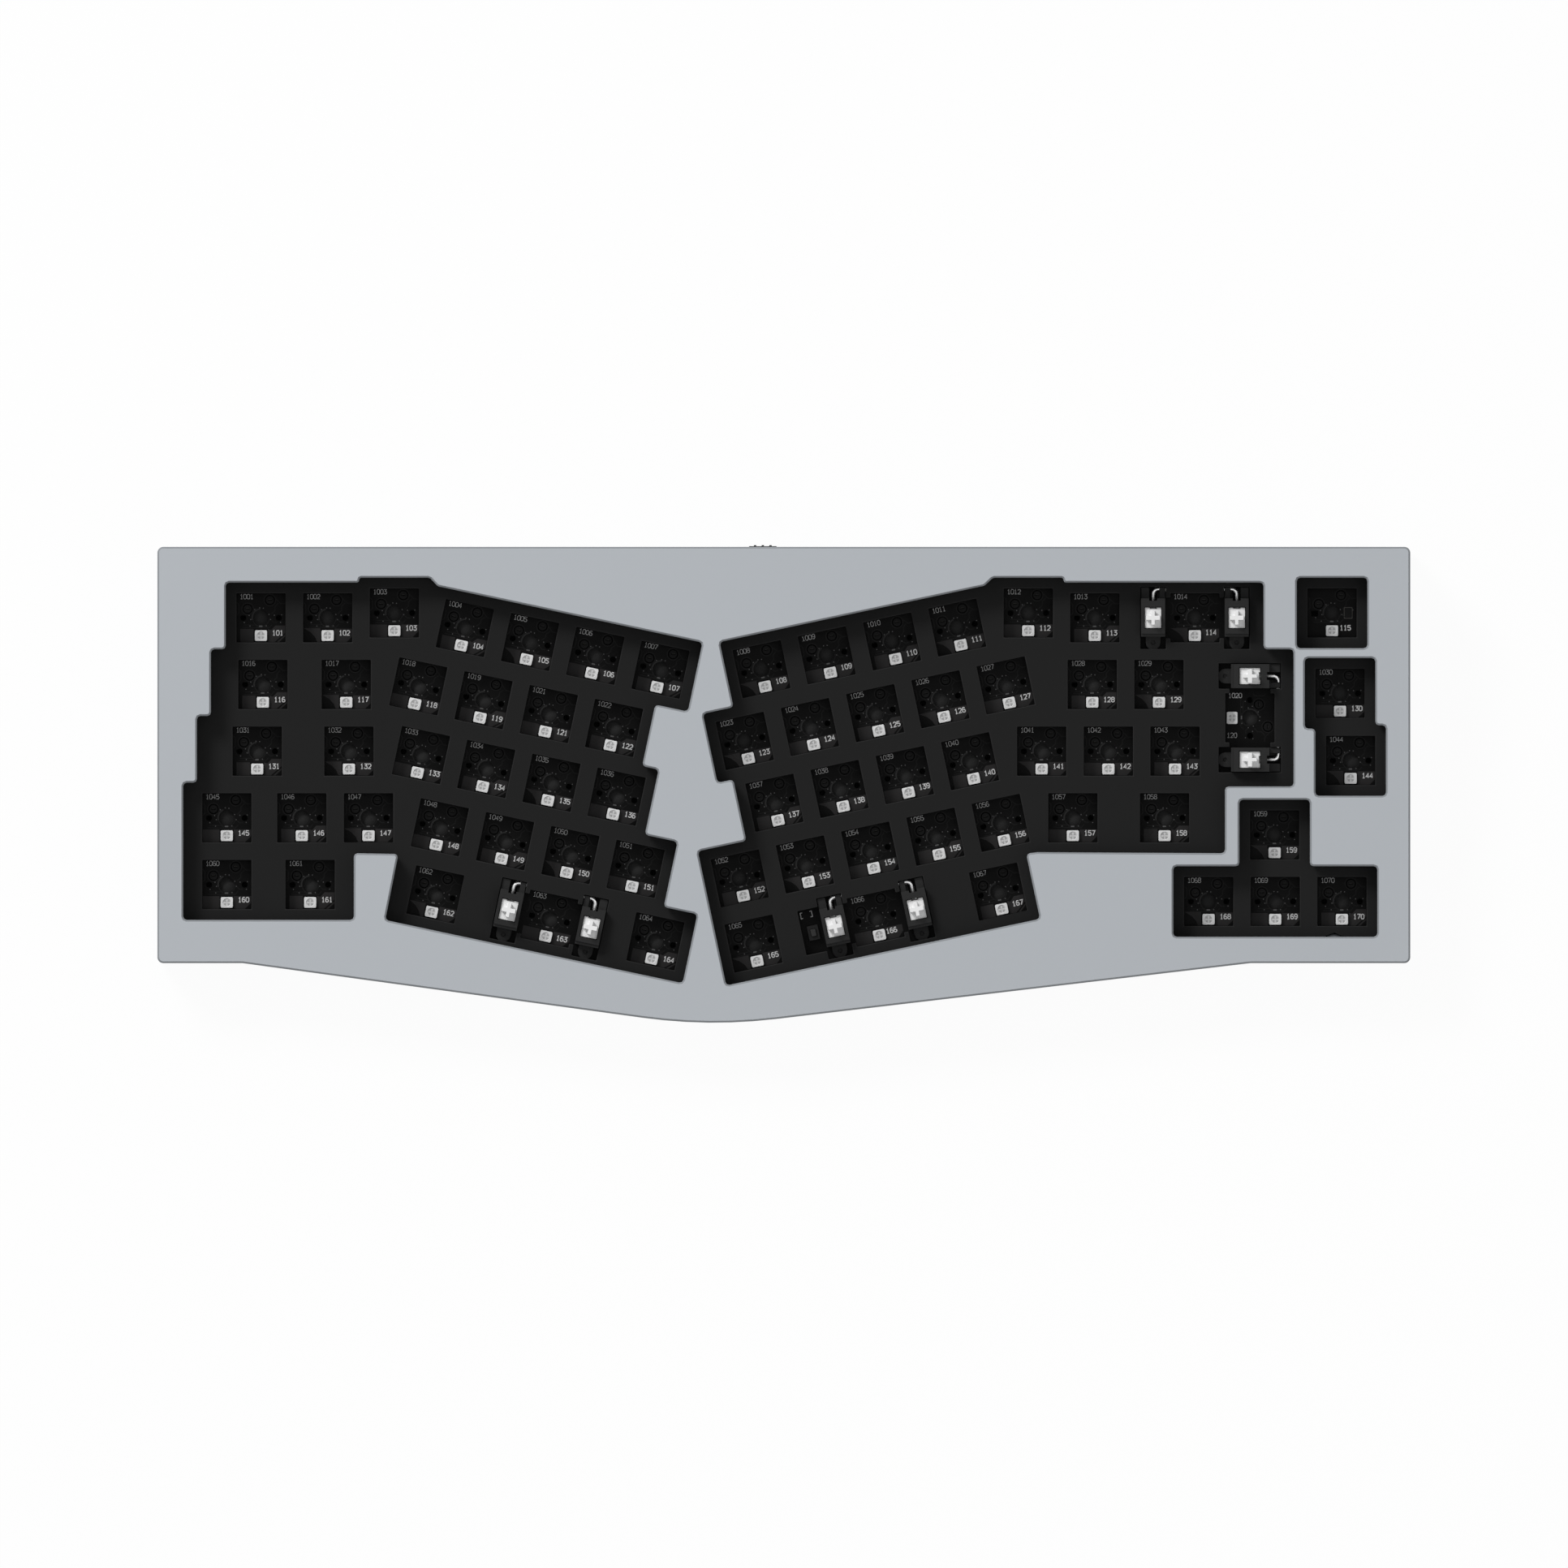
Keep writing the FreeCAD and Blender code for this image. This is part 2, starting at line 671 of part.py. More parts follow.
def well_solid(rows, bridges):
    """The clear space of one well, from the plate's top face to past the bezel, flared at its rim."""
    rise = V(0, 0, size("bezel_height") + 1)
    blocks = [face_of(row_corners(row)).extrude(rise) for row in rows]
    blocks += [face_of(bridge_corners(*pair)).extrude(rise) for pair in bridges]
    joined = blocks[0].multiFuse(blocks[1:]).removeSplitter() if len(blocks) > 1 else blocks[0]
    floor = max((face for face in joined.Faces if abs(face.CenterOfMass.z) < 1e-6), key=lambda face: face.Area)
    points = [vertex.Point for vertex in floor.OuterWire.OrderedVertexes]
    points = without_short_sides(points, size("well_radius"))
    ring = rounded(points, size("well_radius"))
    if sum(ring[number - 1].cross(point).z for number, point in enumerate(ring)) < 0:
        ring.reverse()
    chamfer = size("edge_chamfer")
    wide = widened(ring, 1.05 * chamfer)
    rim = V(0, 0, size("bezel_height") - chamfer)
    above = V(0, 0, size("bezel_height") + 0.05 * chamfer)
    return stacked([ring, [point + rim for point in ring], [point + above for point in wide]])


# Places shared by several pieces

def slope_y(x):
    """The front edge's place at one X, on the sloping stretches."""
    front = value(FRONT_EDGE)
    if x < size("apex_x"):
        turn = size("front_flat_left") - size("case_width") / 2
        return front - (x - turn) * math.tan(math.radians(value(LEFT_SLOPE)))
    turn = size("case_width") / 2 - size("front_flat_right")
    return front - (turn - x) * math.tan(math.radians(value(RIGHT_SLOPE)))


def screw_points():
    """The eight case screws: four corners, two at the back and two on the front slopes."""
    inset = size("screw_inset")
    back = size("back_edge") - inset
    front = value(FRONT_EDGE) + inset
    corner = size("corner_screw_x")
    points = [(-corner, back), (corner, back), (-corner, front), (corner, front)]
    points += [(size("back_screw_left_x"), back), (size("back_screw_right_x"), back)]
    for name, slope in (("front_screw_left_x", LEFT_SLOPE), ("front_screw_right_x", RIGHT_SLOPE)):
        x = size(name)
        points.append((x, slope_y(x) + inset / math.cos(math.radians(value(slope)))))
    return points


SCREWS = screw_points()


def tab_place(edge, share):
    """A frame on the case edge: X along the edge, Y pointing out of the case."""
    half = size("case_width") / 2
    along = share * size("side_length" if edge in ("left", "right") else "case_width")
    if edge == "back":
        point, angle = V(along, size("back_edge"), 0), 0
    elif edge == "left":
        point, angle = V(-half, along, 0), 90
    elif edge == "right":
        point, angle = V(half, along, 0), -90
    elif edge == "front_left":
        point, angle = V(along, slope_y(along), 0), 180 - value(LEFT_SLOPE)
    else:
        point, angle = V(along, slope_y(along), 0), 180 + value(RIGHT_SLOPE)
    return FreeCAD.Placement(point, FreeCAD.Rotation(UP, angle))


TAB_PLACES = [tab_place(edge, share) for edge, share in TABS]


# Case

def make_top_case():
    """Top frame: bezel plate with walls down to the seam, screw bosses, and five wells cut through."""
    body = new_body("top_frame")
    height = "Sizes.bezel_height + Sizes.seam_drop"
    add_pad(body, new_sketch(body, "top_outline", "-Sizes.seam_drop", polygons=[outline("0")]), height)
    hollow = new_sketch(body, "top_hollow", "-Sizes.seam_drop", polygons=[outline("Sizes.wall")])
    cavity = add_pocket(body, hollow, "Sizes.seam_drop + Sizes.gasket_thickness", "cavity", upwards=True)
    corners = round_corners(body, cavity, "0", "Sizes.corner_radius", SQUARE_CORNERS, "corners")
    apex = round_corners(body, corners, "0", "Sizes.apex_radius", APEX, "apex")
    inner = round_corners(body, apex, "Sizes.wall", "Sizes.apex_radius - Sizes.wall", APEX, "inner_apex")
    doc.recompute()
    rim = body.newObject("PartDesign::Chamfer", "top_frame_rim")
    rim.Base = (inner, edges_at(inner.Shape, size("bezel_height")))
    rim.setExpression("Size", "Sizes.edge_chamfer")
    wells = feature("wells", Part.makeCompound([well_solid(rows, bridges) for name, rows, bridges in WELLS]))
    bosses = posts("bosses", "Sizes.boss_radius", "-Sizes.seam_drop", "Sizes.gasket_thickness + Sizes.edge_chamfer",
                   6)
    threads = posts("threads", "Sizes.screw_radius", "-Sizes.seam_drop - 1",
                    "Sizes.screw_grip + 1 - Sizes.seam_drop", 6)
    with_bosses = fuse("top_frame_with_bosses", [body, bosses])
    return cut("top_case", with_bosses, fuse("top_cuts", [wells, threads]))


def edges_at(shape, height):
    """Names of the shape's edges that lie at one height."""
    return [f"Edge{number}" for number, edge in enumerate(shape.Edges, start=1)
            if all(abs(vertex.Z - height) < 1e-6 for vertex in edge.Vertexes)]


TILT = FreeCAD.Rotation(RIGHT, size("typing_angle"))
SEAT = FreeCAD.Placement(V(0, 0, size("plate_centre_height")), TILT)
DESK_GAP = "(Sizes.foot_height - Sizes.foot_recess)"


def desk_height(along):
    """The case's flat underside, as the plate frame's Z at one Y."""
    return (f"({DESK_GAP} - Sizes.plate_centre_height - ({along}) * sin(Sizes.typing_angle))"
            " / cos(Sizes.typing_angle)")


def make_bottom_case():
    """Lower shell: a wedge with a ledge for the gaskets, screw pillars, a back bay and foot recesses."""
    body = new_body("bottom_wedge")
    deep = f"-({desk_height('Sizes.back_edge')}) + 2"
    add_pad(body, new_sketch(body, "wedge_outline", f"-({deep})", polygons=[outline("0")]),
            f"{deep} - Sizes.seam_drop")
    inner = new_sketch(body, "ledge_outline", "-Sizes.seam_drop",
                       polygons=[outline("Sizes.wall + Sizes.shell_gap")])
    add_pad(body, inner, f"{LEDGE_TOP} + Sizes.seam_drop", "ledge")
    reach = "Sizes.back_edge * 2"
    wedge = [(f"-({reach})", desk_height(f"-({reach})")), (reach, desk_height(reach)),
             (reach, f"-({reach})"), (f"-({reach})", f"-({reach})")]
    under = new_sketch(body, "desk_plane", role="YZ_Plane", polygons=[wedge])
    flat = body.newObject("PartDesign::Pocket", "bottom_wedge_flat")
    flat.Profile = under
    flat.Type = 1
    flat.Midplane = True
    corners = round_corners(body, flat, "0", "Sizes.corner_radius", SQUARE_CORNERS, "corners")
    apex = round_corners(body, corners, "0", "Sizes.apex_radius", APEX, "apex")
    lip = round_corners(body, apex, "Sizes.wall + Sizes.shell_gap",
                        "Sizes.apex_radius - Sizes.wall - Sizes.shell_gap", APEX, "ledge_apex")
    doc.recompute()
    rim = body.newObject("PartDesign::Chamfer", "bottom_wedge_edge")
    rim.Base = (lip, underside_edges(lip.Shape))
    rim.setExpression("Size", "Sizes.bottom_chamfer")

    hollow = simple_pad("bottom_hollow", [outline(LEDGE_INSET)], "-Sizes.floor_drop", f"{LEDGE_TOP} + Sizes.floor_drop")
    pillars = posts("pillars", "Sizes.pillar_radius", "-Sizes.floor_drop - 1", "-Sizes.seam_drop", 6)
    hollow_room = cut("bottom_room", hollow, pillars)
    seat = "-Sizes.seam_drop - Sizes.screw_seat"
    screw_cuts = [
        posts("boss_rooms", "Sizes.boss_radius + Sizes.boss_gap", "-Sizes.seam_drop", "0", 6),
        posts("passages", "Sizes.screw_hole_radius", f"{seat} - 1", "0", 6),
        posts("head_seats", "Sizes.screw_head_radius + Sizes.screw_head_gap", f"-({deep}) - 1", seat),
    ]
    bay = box("back_bay", "Sizes.bay_left", "Sizes.bay_right", "Sizes.back_edge - 2 * Sizes.wall - Sizes.ledge_width",
              "Sizes.back_edge - Sizes.bay_wall", "-Sizes.floor_drop", f"{LEDGE_TOP} + 1")
    inlet = make_inlet_opening()
    slot = box("slider_slot", "Sizes.mode_x - Sizes.knob_width / 2 - Sizes.knob_gap",
               "Sizes.mode_x + Sizes.knob_width / 2 + Sizes.slider_travel + Sizes.knob_gap",
               "Sizes.back_edge - Sizes.bay_wall - 1", "Sizes.back_edge + 1",
               "-Sizes.mode_drop - Sizes.knob_height / 2 - Sizes.knob_gap",
               "-Sizes.mode_drop + Sizes.knob_height / 2 + Sizes.knob_gap")
    recesses = [foot_body(f"{name}_recess", x, y, "Sizes.foot_gap", in_plate_frame=True) for name, x, y in FEET]
    tools = fuse("bottom_cuts", [hollow_room, bay, inlet, slot] + screw_cuts + recesses)
    return cut("bottom_case", body, tools)


def underside_edges(shape):
    """Names of the outer edges round the flat underside of the lower shell."""
    down = TILT.inverted().multVec(V(0, 0, -1))
    names = []
    for face in shape.Faces:
        if face.normalAt(0, 0).getAngle(down) < 1e-3:
            for edge in face.OuterWire.Edges:
                number = next(place for place, other in enumerate(shape.Edges, start=1) if other.isSame(edge))
                names.append(f"Edge{number}")
    return names


USB_MIDDLE = f"{BOARD_BOTTOM} - Sizes.usb_height / 2"


def slab_along_y(body, name, width, height, corner, x, z, y_start, length):
    """A slab along Y from y_start, whose rectangular section has its corners cut off."""
    sketch = new_sketch(body, f"{name}_section", f"-({y_start})", role="XZ_Plane",
                        polygons=[centred(x, z, width, height)])
    pad = add_pad(body, sketch, length, name, downwards=True)
    doc.recompute()
    along = []
    for number, edge in enumerate(pad.Shape.Edges, start=1):
        direction = edge.Vertexes[-1].Point - edge.Vertexes[0].Point
        if abs(direction.y) > 0.9 * direction.Length:
            along.append(f"Edge{number}")
    corners = body.newObject("PartDesign::Chamfer", f"{name}_corners")
    corners.Base = (pad, along)
    corners.setExpression("Size", corner)
    return corners


def make_inlet_opening():
    """The cut for the cord's plug: a slot for its nose and a shallow recess for its grip."""
    nose = new_body("plug_nose_cut")
    slab_along_y(nose, "plug_nose", "Sizes.usb_width + 2 * Sizes.usb_opening_gap",
                 "Sizes.usb_height + 2 * Sizes.usb_opening_gap", "Sizes.usb_corner + Sizes.usb_opening_gap",
                 "Sizes.usb_x", USB_MIDDLE, "Sizes.back_edge - Sizes.bay_wall - 1", "Sizes.bay_wall + 2")
    grip = new_body("plug_grip_cut")
    slab_along_y(grip, "plug_grip", "Sizes.plug_recess_width", "Sizes.plug_recess_height",
                 "Sizes.usb_corner + Sizes.usb_opening_gap", "Sizes.usb_x", USB_MIDDLE,
                 "Sizes.back_edge - Sizes.plug_recess_depth", "Sizes.plug_recess_depth + 1")
    return fuse("inlet_cut", [nose, grip])


FEET = (
    ("front_left_foot", "-Sizes.foot_x", "Sizes.front_foot_y"),
    ("front_right_foot", "Sizes.foot_x", "Sizes.front_foot_y"),
    ("back_left_foot", "-Sizes.foot_x", "Sizes.back_foot_y"),
    ("back_right_foot", "Sizes.foot_x", "Sizes.back_foot_y"),
)


def foot_body(name, x, y, growth, in_plate_frame):
    """A rounded rubber foot, flat on the desk, or with a growth the recess that holds it."""
    body = new_body(name)
    low = "0" if growth == "0" else "-1"
    top = "Sizes.foot_height" if growth == "0" else "Sizes.foot_height + 1"
    outline_corners = centred(x, y, f"Sizes.foot_length + 2 * {growth}", f"Sizes.foot_width + 2 * {growth}")
    pad = add_pad(body, new_sketch(body, f"{name}_outline", low, polygons=[outline_corners]), top)
    doc.recompute()
    points = [(value(corner_x), value(corner_y)) for corner_x, corner_y in outline_corners]
    corners = body.newObject("PartDesign::Chamfer", f"{name}_corners")
    corners.Base = (pad, upright_edges(pad.Shape, points))
    corners.setExpression("Size", "Sizes.foot_corner")
    if in_plate_frame:
        body.Placement = SEAT.inverse()
    return body


# Plate, foams and board

def notched(name, body, radius, sides=8):
    """A layer with round notches for the case screws' bosses or pillars."""
    notches = posts(f"{name}_notches", radius, "-Sizes.floor_drop - 5", "Sizes.bezel_height", sides)
    return cut(f"{name}_notched", body, notches)


def window_solid(key, low, high, growth, wire_room):
    """The cut of one key through a layer: a square for its switch, and the stabiliser's windows."""
    half = size("window_side") / 2 + growth
    parts = [(-half, half, -half, half)]
    if key.stabiliser:
        spread = size("stem_spread")
        reach = size("stabiliser_window_width") / 2 + growth
        strip = size("stabiliser_strip") / 2 + growth
        back = size("stabiliser_window_back") + growth
        front = size("stabiliser_window_front") + growth
        parts.append((-spread, spread, -strip, back if wire_room else strip))
        for side in (-spread, spread):
            parts.append((side - reach, side + reach, -front, back))
    if key.stabiliser == "right_space":
        reach = size("reset_window_length") / 2 + growth
        parts.append((size("reset_window_x") - growth, -size("stem_spread"), -reach, reach))
    boxes = [Part.makeBox(x_high - x_low, y_high - y_low, high - low, V(x_low, y_low, low))
             for x_low, x_high, y_low, y_high in parts]
    solid = boxes[0] if len(boxes) == 1 else boxes[0].multiFuse(boxes[1:]).removeSplitter()
    solid.Placement = key.place
    return solid


def plate_windows():
    """The cuts of all keys through the plate."""
    solids = [window_solid(key, -size("plate_thickness") - 1, 1, 0, False) for key in KEYS]
    return feature("plate_windows", Part.makeCompound(solids))


def make_switch_plate():
    """Steel plate with its gasket tabs and the windows of all keys."""
    plain = simple_pad("plate_sheet", [outline("Sizes.plate_inset")], "-Sizes.plate_thickness",
                       "Sizes.plate_thickness")
    tabs = [box(f"plate_tab_{number}", "-Sizes.tab_length / 2", "Sizes.tab_length / 2",
                "-Sizes.plate_inset - 1", "-Sizes.tab_inset", "-Sizes.plate_thickness", "0", place)
            for number, place in enumerate(TAB_PLACES, start=1)]
    sheet_with_tabs = fuse("plate_with_tabs", [plain] + tabs)
    notched_plate = notched("plate", sheet_with_tabs, "Sizes.notch_radius")
    holes = [post(f"plate_screw_hole_{number}", x, y, "Sizes.spacer_screw_radius", "-Sizes.plate_thickness - 1", "1", 6)
             for number, (x, y) in enumerate(SPACERS, start=1)]
    drilled = cut("plate_drilled", notched_plate, compound("plate_screw_holes", holes))
    return cut("switch_plate", drilled, plate_windows())


def board_corners(inset):
    """The board's outline with its tongue into the back bay."""
    corners = outline(inset)
    edge = corners[0][1]
    tongue = "Sizes.back_edge - Sizes.bay_wall - Sizes.board_tongue_gap"
    left = "Sizes.bay_left + 2 * Sizes.board_tongue_gap"
    right = "Sizes.bay_right - 2 * Sizes.board_tongue_gap"
    return corners[:1] + [(left, edge), (left, tongue), (right, tongue), (right, edge)] + corners[1:]


def foam_slots(low, high):
    """The cuts through the plate's foam: one slot along each row of keys, wider round a stabiliser."""
    growth = size("foam_window_gap")
    bottom, top = value(low) - 1, value(high) + 1
    solids = [window_solid(key, bottom, top, growth, True) for key in KEYS if key.stabiliser]
    half = size("window_side") / 2 + growth
    for row, block, edge, line, widths in ROWS:
        left = size(f"{row}_row_edge") * PITCH + (widths[0] * PITCH / 2 - half)
        right = (size(f"{row}_row_edge") + sum(widths)) * PITCH - (widths[-1] * PITCH / 2 - half)
        middle = size(f"{row}_row_line") * PITCH
        slot = Part.makeBox(right - left, 2 * half, top - bottom, V(left, middle - half, bottom))
        slot.Placement = BLOCKS[block]
        solids.append(slot)
    return feature("plate_foam_slots", solids[0].multiFuse(solids[1:]))


def make_plate_foam():
    """Damping foam between plate and board, open along the key rows, round the spacers and stabilisers."""
    sheet_body = simple_pad("plate_foam_sheet", [outline(f"{BOARD_INSET} + Sizes.board_gap")], BOARD_TOP,
                            "Sizes.plate_to_board")
    notched_foam = notched("plate_foam", sheet_body, "Sizes.pillar_radius + Sizes.board_gap")
    width = 2 * (size("spacer_radius") + size("board_gap"))
    holes = [prism(6, width, value(BOARD_TOP) - 1, 0, x, y) for x, y in SPACERS]
    drilled = cut("plate_foam_drilled", notched_foam, feature("plate_foam_holes", Part.makeCompound(holes)))
    return cut("plate_foam", drilled, foam_slots(BOARD_TOP, "-Sizes.plate_thickness"))


def prism(sides, width, low, high, x, y):
    """An upright prism of a regular polygon with the given width across its flats."""
    radius = width / 2 / math.cos(math.pi / sides)
    turns = [math.pi * (2 * number + 1) / sides for number in range(sides)]
    points = [V(x + radius * math.cos(turn), y + radius * math.sin(turn), low) for turn in turns]
    return face_of(points).extrude(V(0, 0, high - low))


def make_board():
    """Circuit board: a hole for every switch's post, and holes for the stabilisers' screws."""
    blank = simple_pad("board_sheet", [board_corners(BOARD_INSET)], BOARD_BOTTOM, "Sizes.board_thickness")
    notched_board = notched("board", blank, "Sizes.pillar_radius + Sizes.board_gap")
    low, high = value(BOARD_BOTTOM) - 1, value(BOARD_TOP) + 1
    holes = []
    for key in KEYS:
        hole = prism(6, size("post_hole"), low, high, 0, 0)
        hole.Placement = key.place
        holes.append(hole)
    for key in WIDE_KEYS.values():
        for side in (-1, 1):
            spot = key.place.multVec(V(side * size("stem_spread"), -size("lug_offset"), 0))
            holes.append(prism(6, 2 * size("stabiliser_screw_radius"), low, high, spot.x, spot.y))
    return cut("pcb", notched_board, feature("board_holes", Part.makeCompound(holes)))


def make_case_foam():
    """Damping foam on the case floor, round the pillars."""
    slab = simple_pad("case_foam_sheet", [outline(BOARD_INSET)], "-Sizes.floor_drop", "Sizes.case_foam_thickness")
    relief = box("back_bay_relief", "Sizes.bay_left", "Sizes.bay_right",
                 "Sizes.back_edge - Sizes.usb_inset - Sizes.usb_depth - Sizes.board_gap", "Sizes.back_edge",
                 "-Sizes.floor_drop - 1", "0")
    return cut("case_foam", notched("case_foam", slab, "Sizes.pillar_radius + Sizes.board_gap"), relief)


def make_gaskets(name, low):
    """Soft strips on the gasket tabs, one beside each tab."""
    strips = [box(f"{name}_{number}", "-Sizes.gasket_length / 2", "Sizes.gasket_length / 2",
                  "-Sizes.tab_inset - Sizes.gasket_width", "-Sizes.tab_inset",
                  low, f"{low} + Sizes.gasket_thickness", place)
              for number, place in enumerate(TAB_PLACES, start=1)]
    group = compound(name, strips)
    group.Label = name
    return group


def make_leds():
    """One lamp in front of every switch's middle, on the board."""
    length, width, height = size("led_length"), size("led_width"), size("led_height")
    corner = V(-length / 2, -size("led_offset") - width / 2, value(BOARD_TOP))
    lamps = []
    for key in KEYS:
        lamp = Part.makeBox(length, width, height, corner)
        lamp.Placement = key.place
        lamps.append(lamp)
    return feature("leds", Part.makeCompound(lamps))


# The outline of a socket under the board: a slanted bar from its left pin to its right one.
SOCKET_OUTLINE = ((-6.2, 0.5), (-2.5, 0.5), (-0.8, 2.9), (4.9, 2.9), (4.9, 7.2), (-6.2, 4.9))


def make_sockets():
    """One socket under every switch, for its two pins."""
    top = value(BOARD_BOTTOM)
    points = [V(x, y, top) for x, y in SOCKET_OUTLINE]
    sockets = []
    for key in KEYS:
        socket = face_of(points).extrude(V(0, 0, -size("socket_height")))
        socket.Placement = key.place
        sockets.append(socket)
    return feature("hot_swap_sockets", Part.makeCompound(sockets))


def make_chips():
    """Controller and lamp drivers under the board."""
    controller = box("controller_chip", f"{CONTROLLER[0]} - Sizes.controller_side / 2",
                     f"{CONTROLLER[0]} + Sizes.controller_side / 2",
                     f"{CONTROLLER[1]} - Sizes.controller_side / 2",
                     f"{CONTROLLER[1]} + Sizes.controller_side / 2",
                     f"{BOARD_BOTTOM} - Sizes.controller_height", BOARD_BOTTOM)
    drivers = [box(f"driver_{number}", f"{x} - Sizes.driver_side / 2", f"{x} + Sizes.driver_side / 2",
                   f"{y} - Sizes.driver_side / 2", f"{y} + Sizes.driver_side / 2",
                   f"{BOARD_BOTTOM} - Sizes.driver_height", BOARD_BOTTOM)
               for number, (x, y) in enumerate(DRIVERS, start=1)]
    group = compound("led_driver_chips", drivers)
    return [controller, group]


# Fasteners

def plain_screw(name, head_radius, head_height, shank_radius, shank_length):
    """A screw standing on its head: the shank points up from the head's top face at Z zero."""
    head = post(f"{name}_head", 0, 0, head_radius, f"-({head_height})", "0", 6)
    shank = post(f"{name}_shank", 0, 0, shank_radius, "-0.1", shank_length, 6)
    return fuse(name, [head, shank])


def copies(name, body, places):
    """A group of equal solids, one at each place."""
    doc.recompute()
    shapes = []
    for place in places:
        shape = body.Shape.copy()
        shape.Placement = place
        shapes.append(shape)
    return feature(name, Part.makeCompound(shapes))


def make_fasteners():
    """Case screws, spacers with their screws, and the stabilisers' screws."""
    case_screw = plain_screw("case_screw", "Sizes.screw_head_radius", "Sizes.screw_head_height",
                              "Sizes.screw_radius", "Sizes.screw_seat + Sizes.screw_grip")
    seat = -size("seam_drop") - size("screw_seat")
    case_screws = copies("case_screws", case_screw, [
        FreeCAD.Placement(V(x, y, seat), FreeCAD.Rotation()) for x, y in SCREWS])

    spacer_screw = plain_screw("spacer_screw", "Sizes.spacer_head_radius", "Sizes.spacer_head_height",
                                "Sizes.spacer_screw_radius", "Sizes.plate_thickness + Sizes.plate_to_board / 2")
    upside_down = FreeCAD.Rotation(RIGHT, 180)
    plate_screws = copies("plate_screws", spacer_screw, [
        FreeCAD.Placement(V(x, y, 0), upside_down) for x, y in SPACERS])

    low, high = value(BOARD_TOP), -size("plate_thickness")
    spacers = []
    for x, y in SPACERS:
        outer = prism(6, 2 * size("spacer_radius"), low, high, x, y)
        inner = prism(6, 2 * size("spacer_screw_radius"), low, high, x, y)
        spacers.append(outer.cut(inner))
    plate_spacers = feature("plate_spacers", Part.makeCompound(spacers))

    lug_screw = plain_screw("lug_screw", "Sizes.stabiliser_head_radius", "Sizes.stabiliser_head_height",
                             "Sizes.stabiliser_screw_radius", "Sizes.board_thickness + Sizes.stabiliser_screw_reach")
    places = []
    for key in WIDE_KEYS.values():
        for side in (-1, 1):
            spot = key.place.multVec(V(side * size("stem_spread"), -size("lug_offset"), value(BOARD_BOTTOM)))
            places.append(FreeCAD.Placement(spot, key.place.Rotation))
    stabiliser_screws = copies("stabiliser_screws", lug_screw, places)
    return [case_screws, plate_screws, plate_spacers, stabiliser_screws]


# Stabilisers

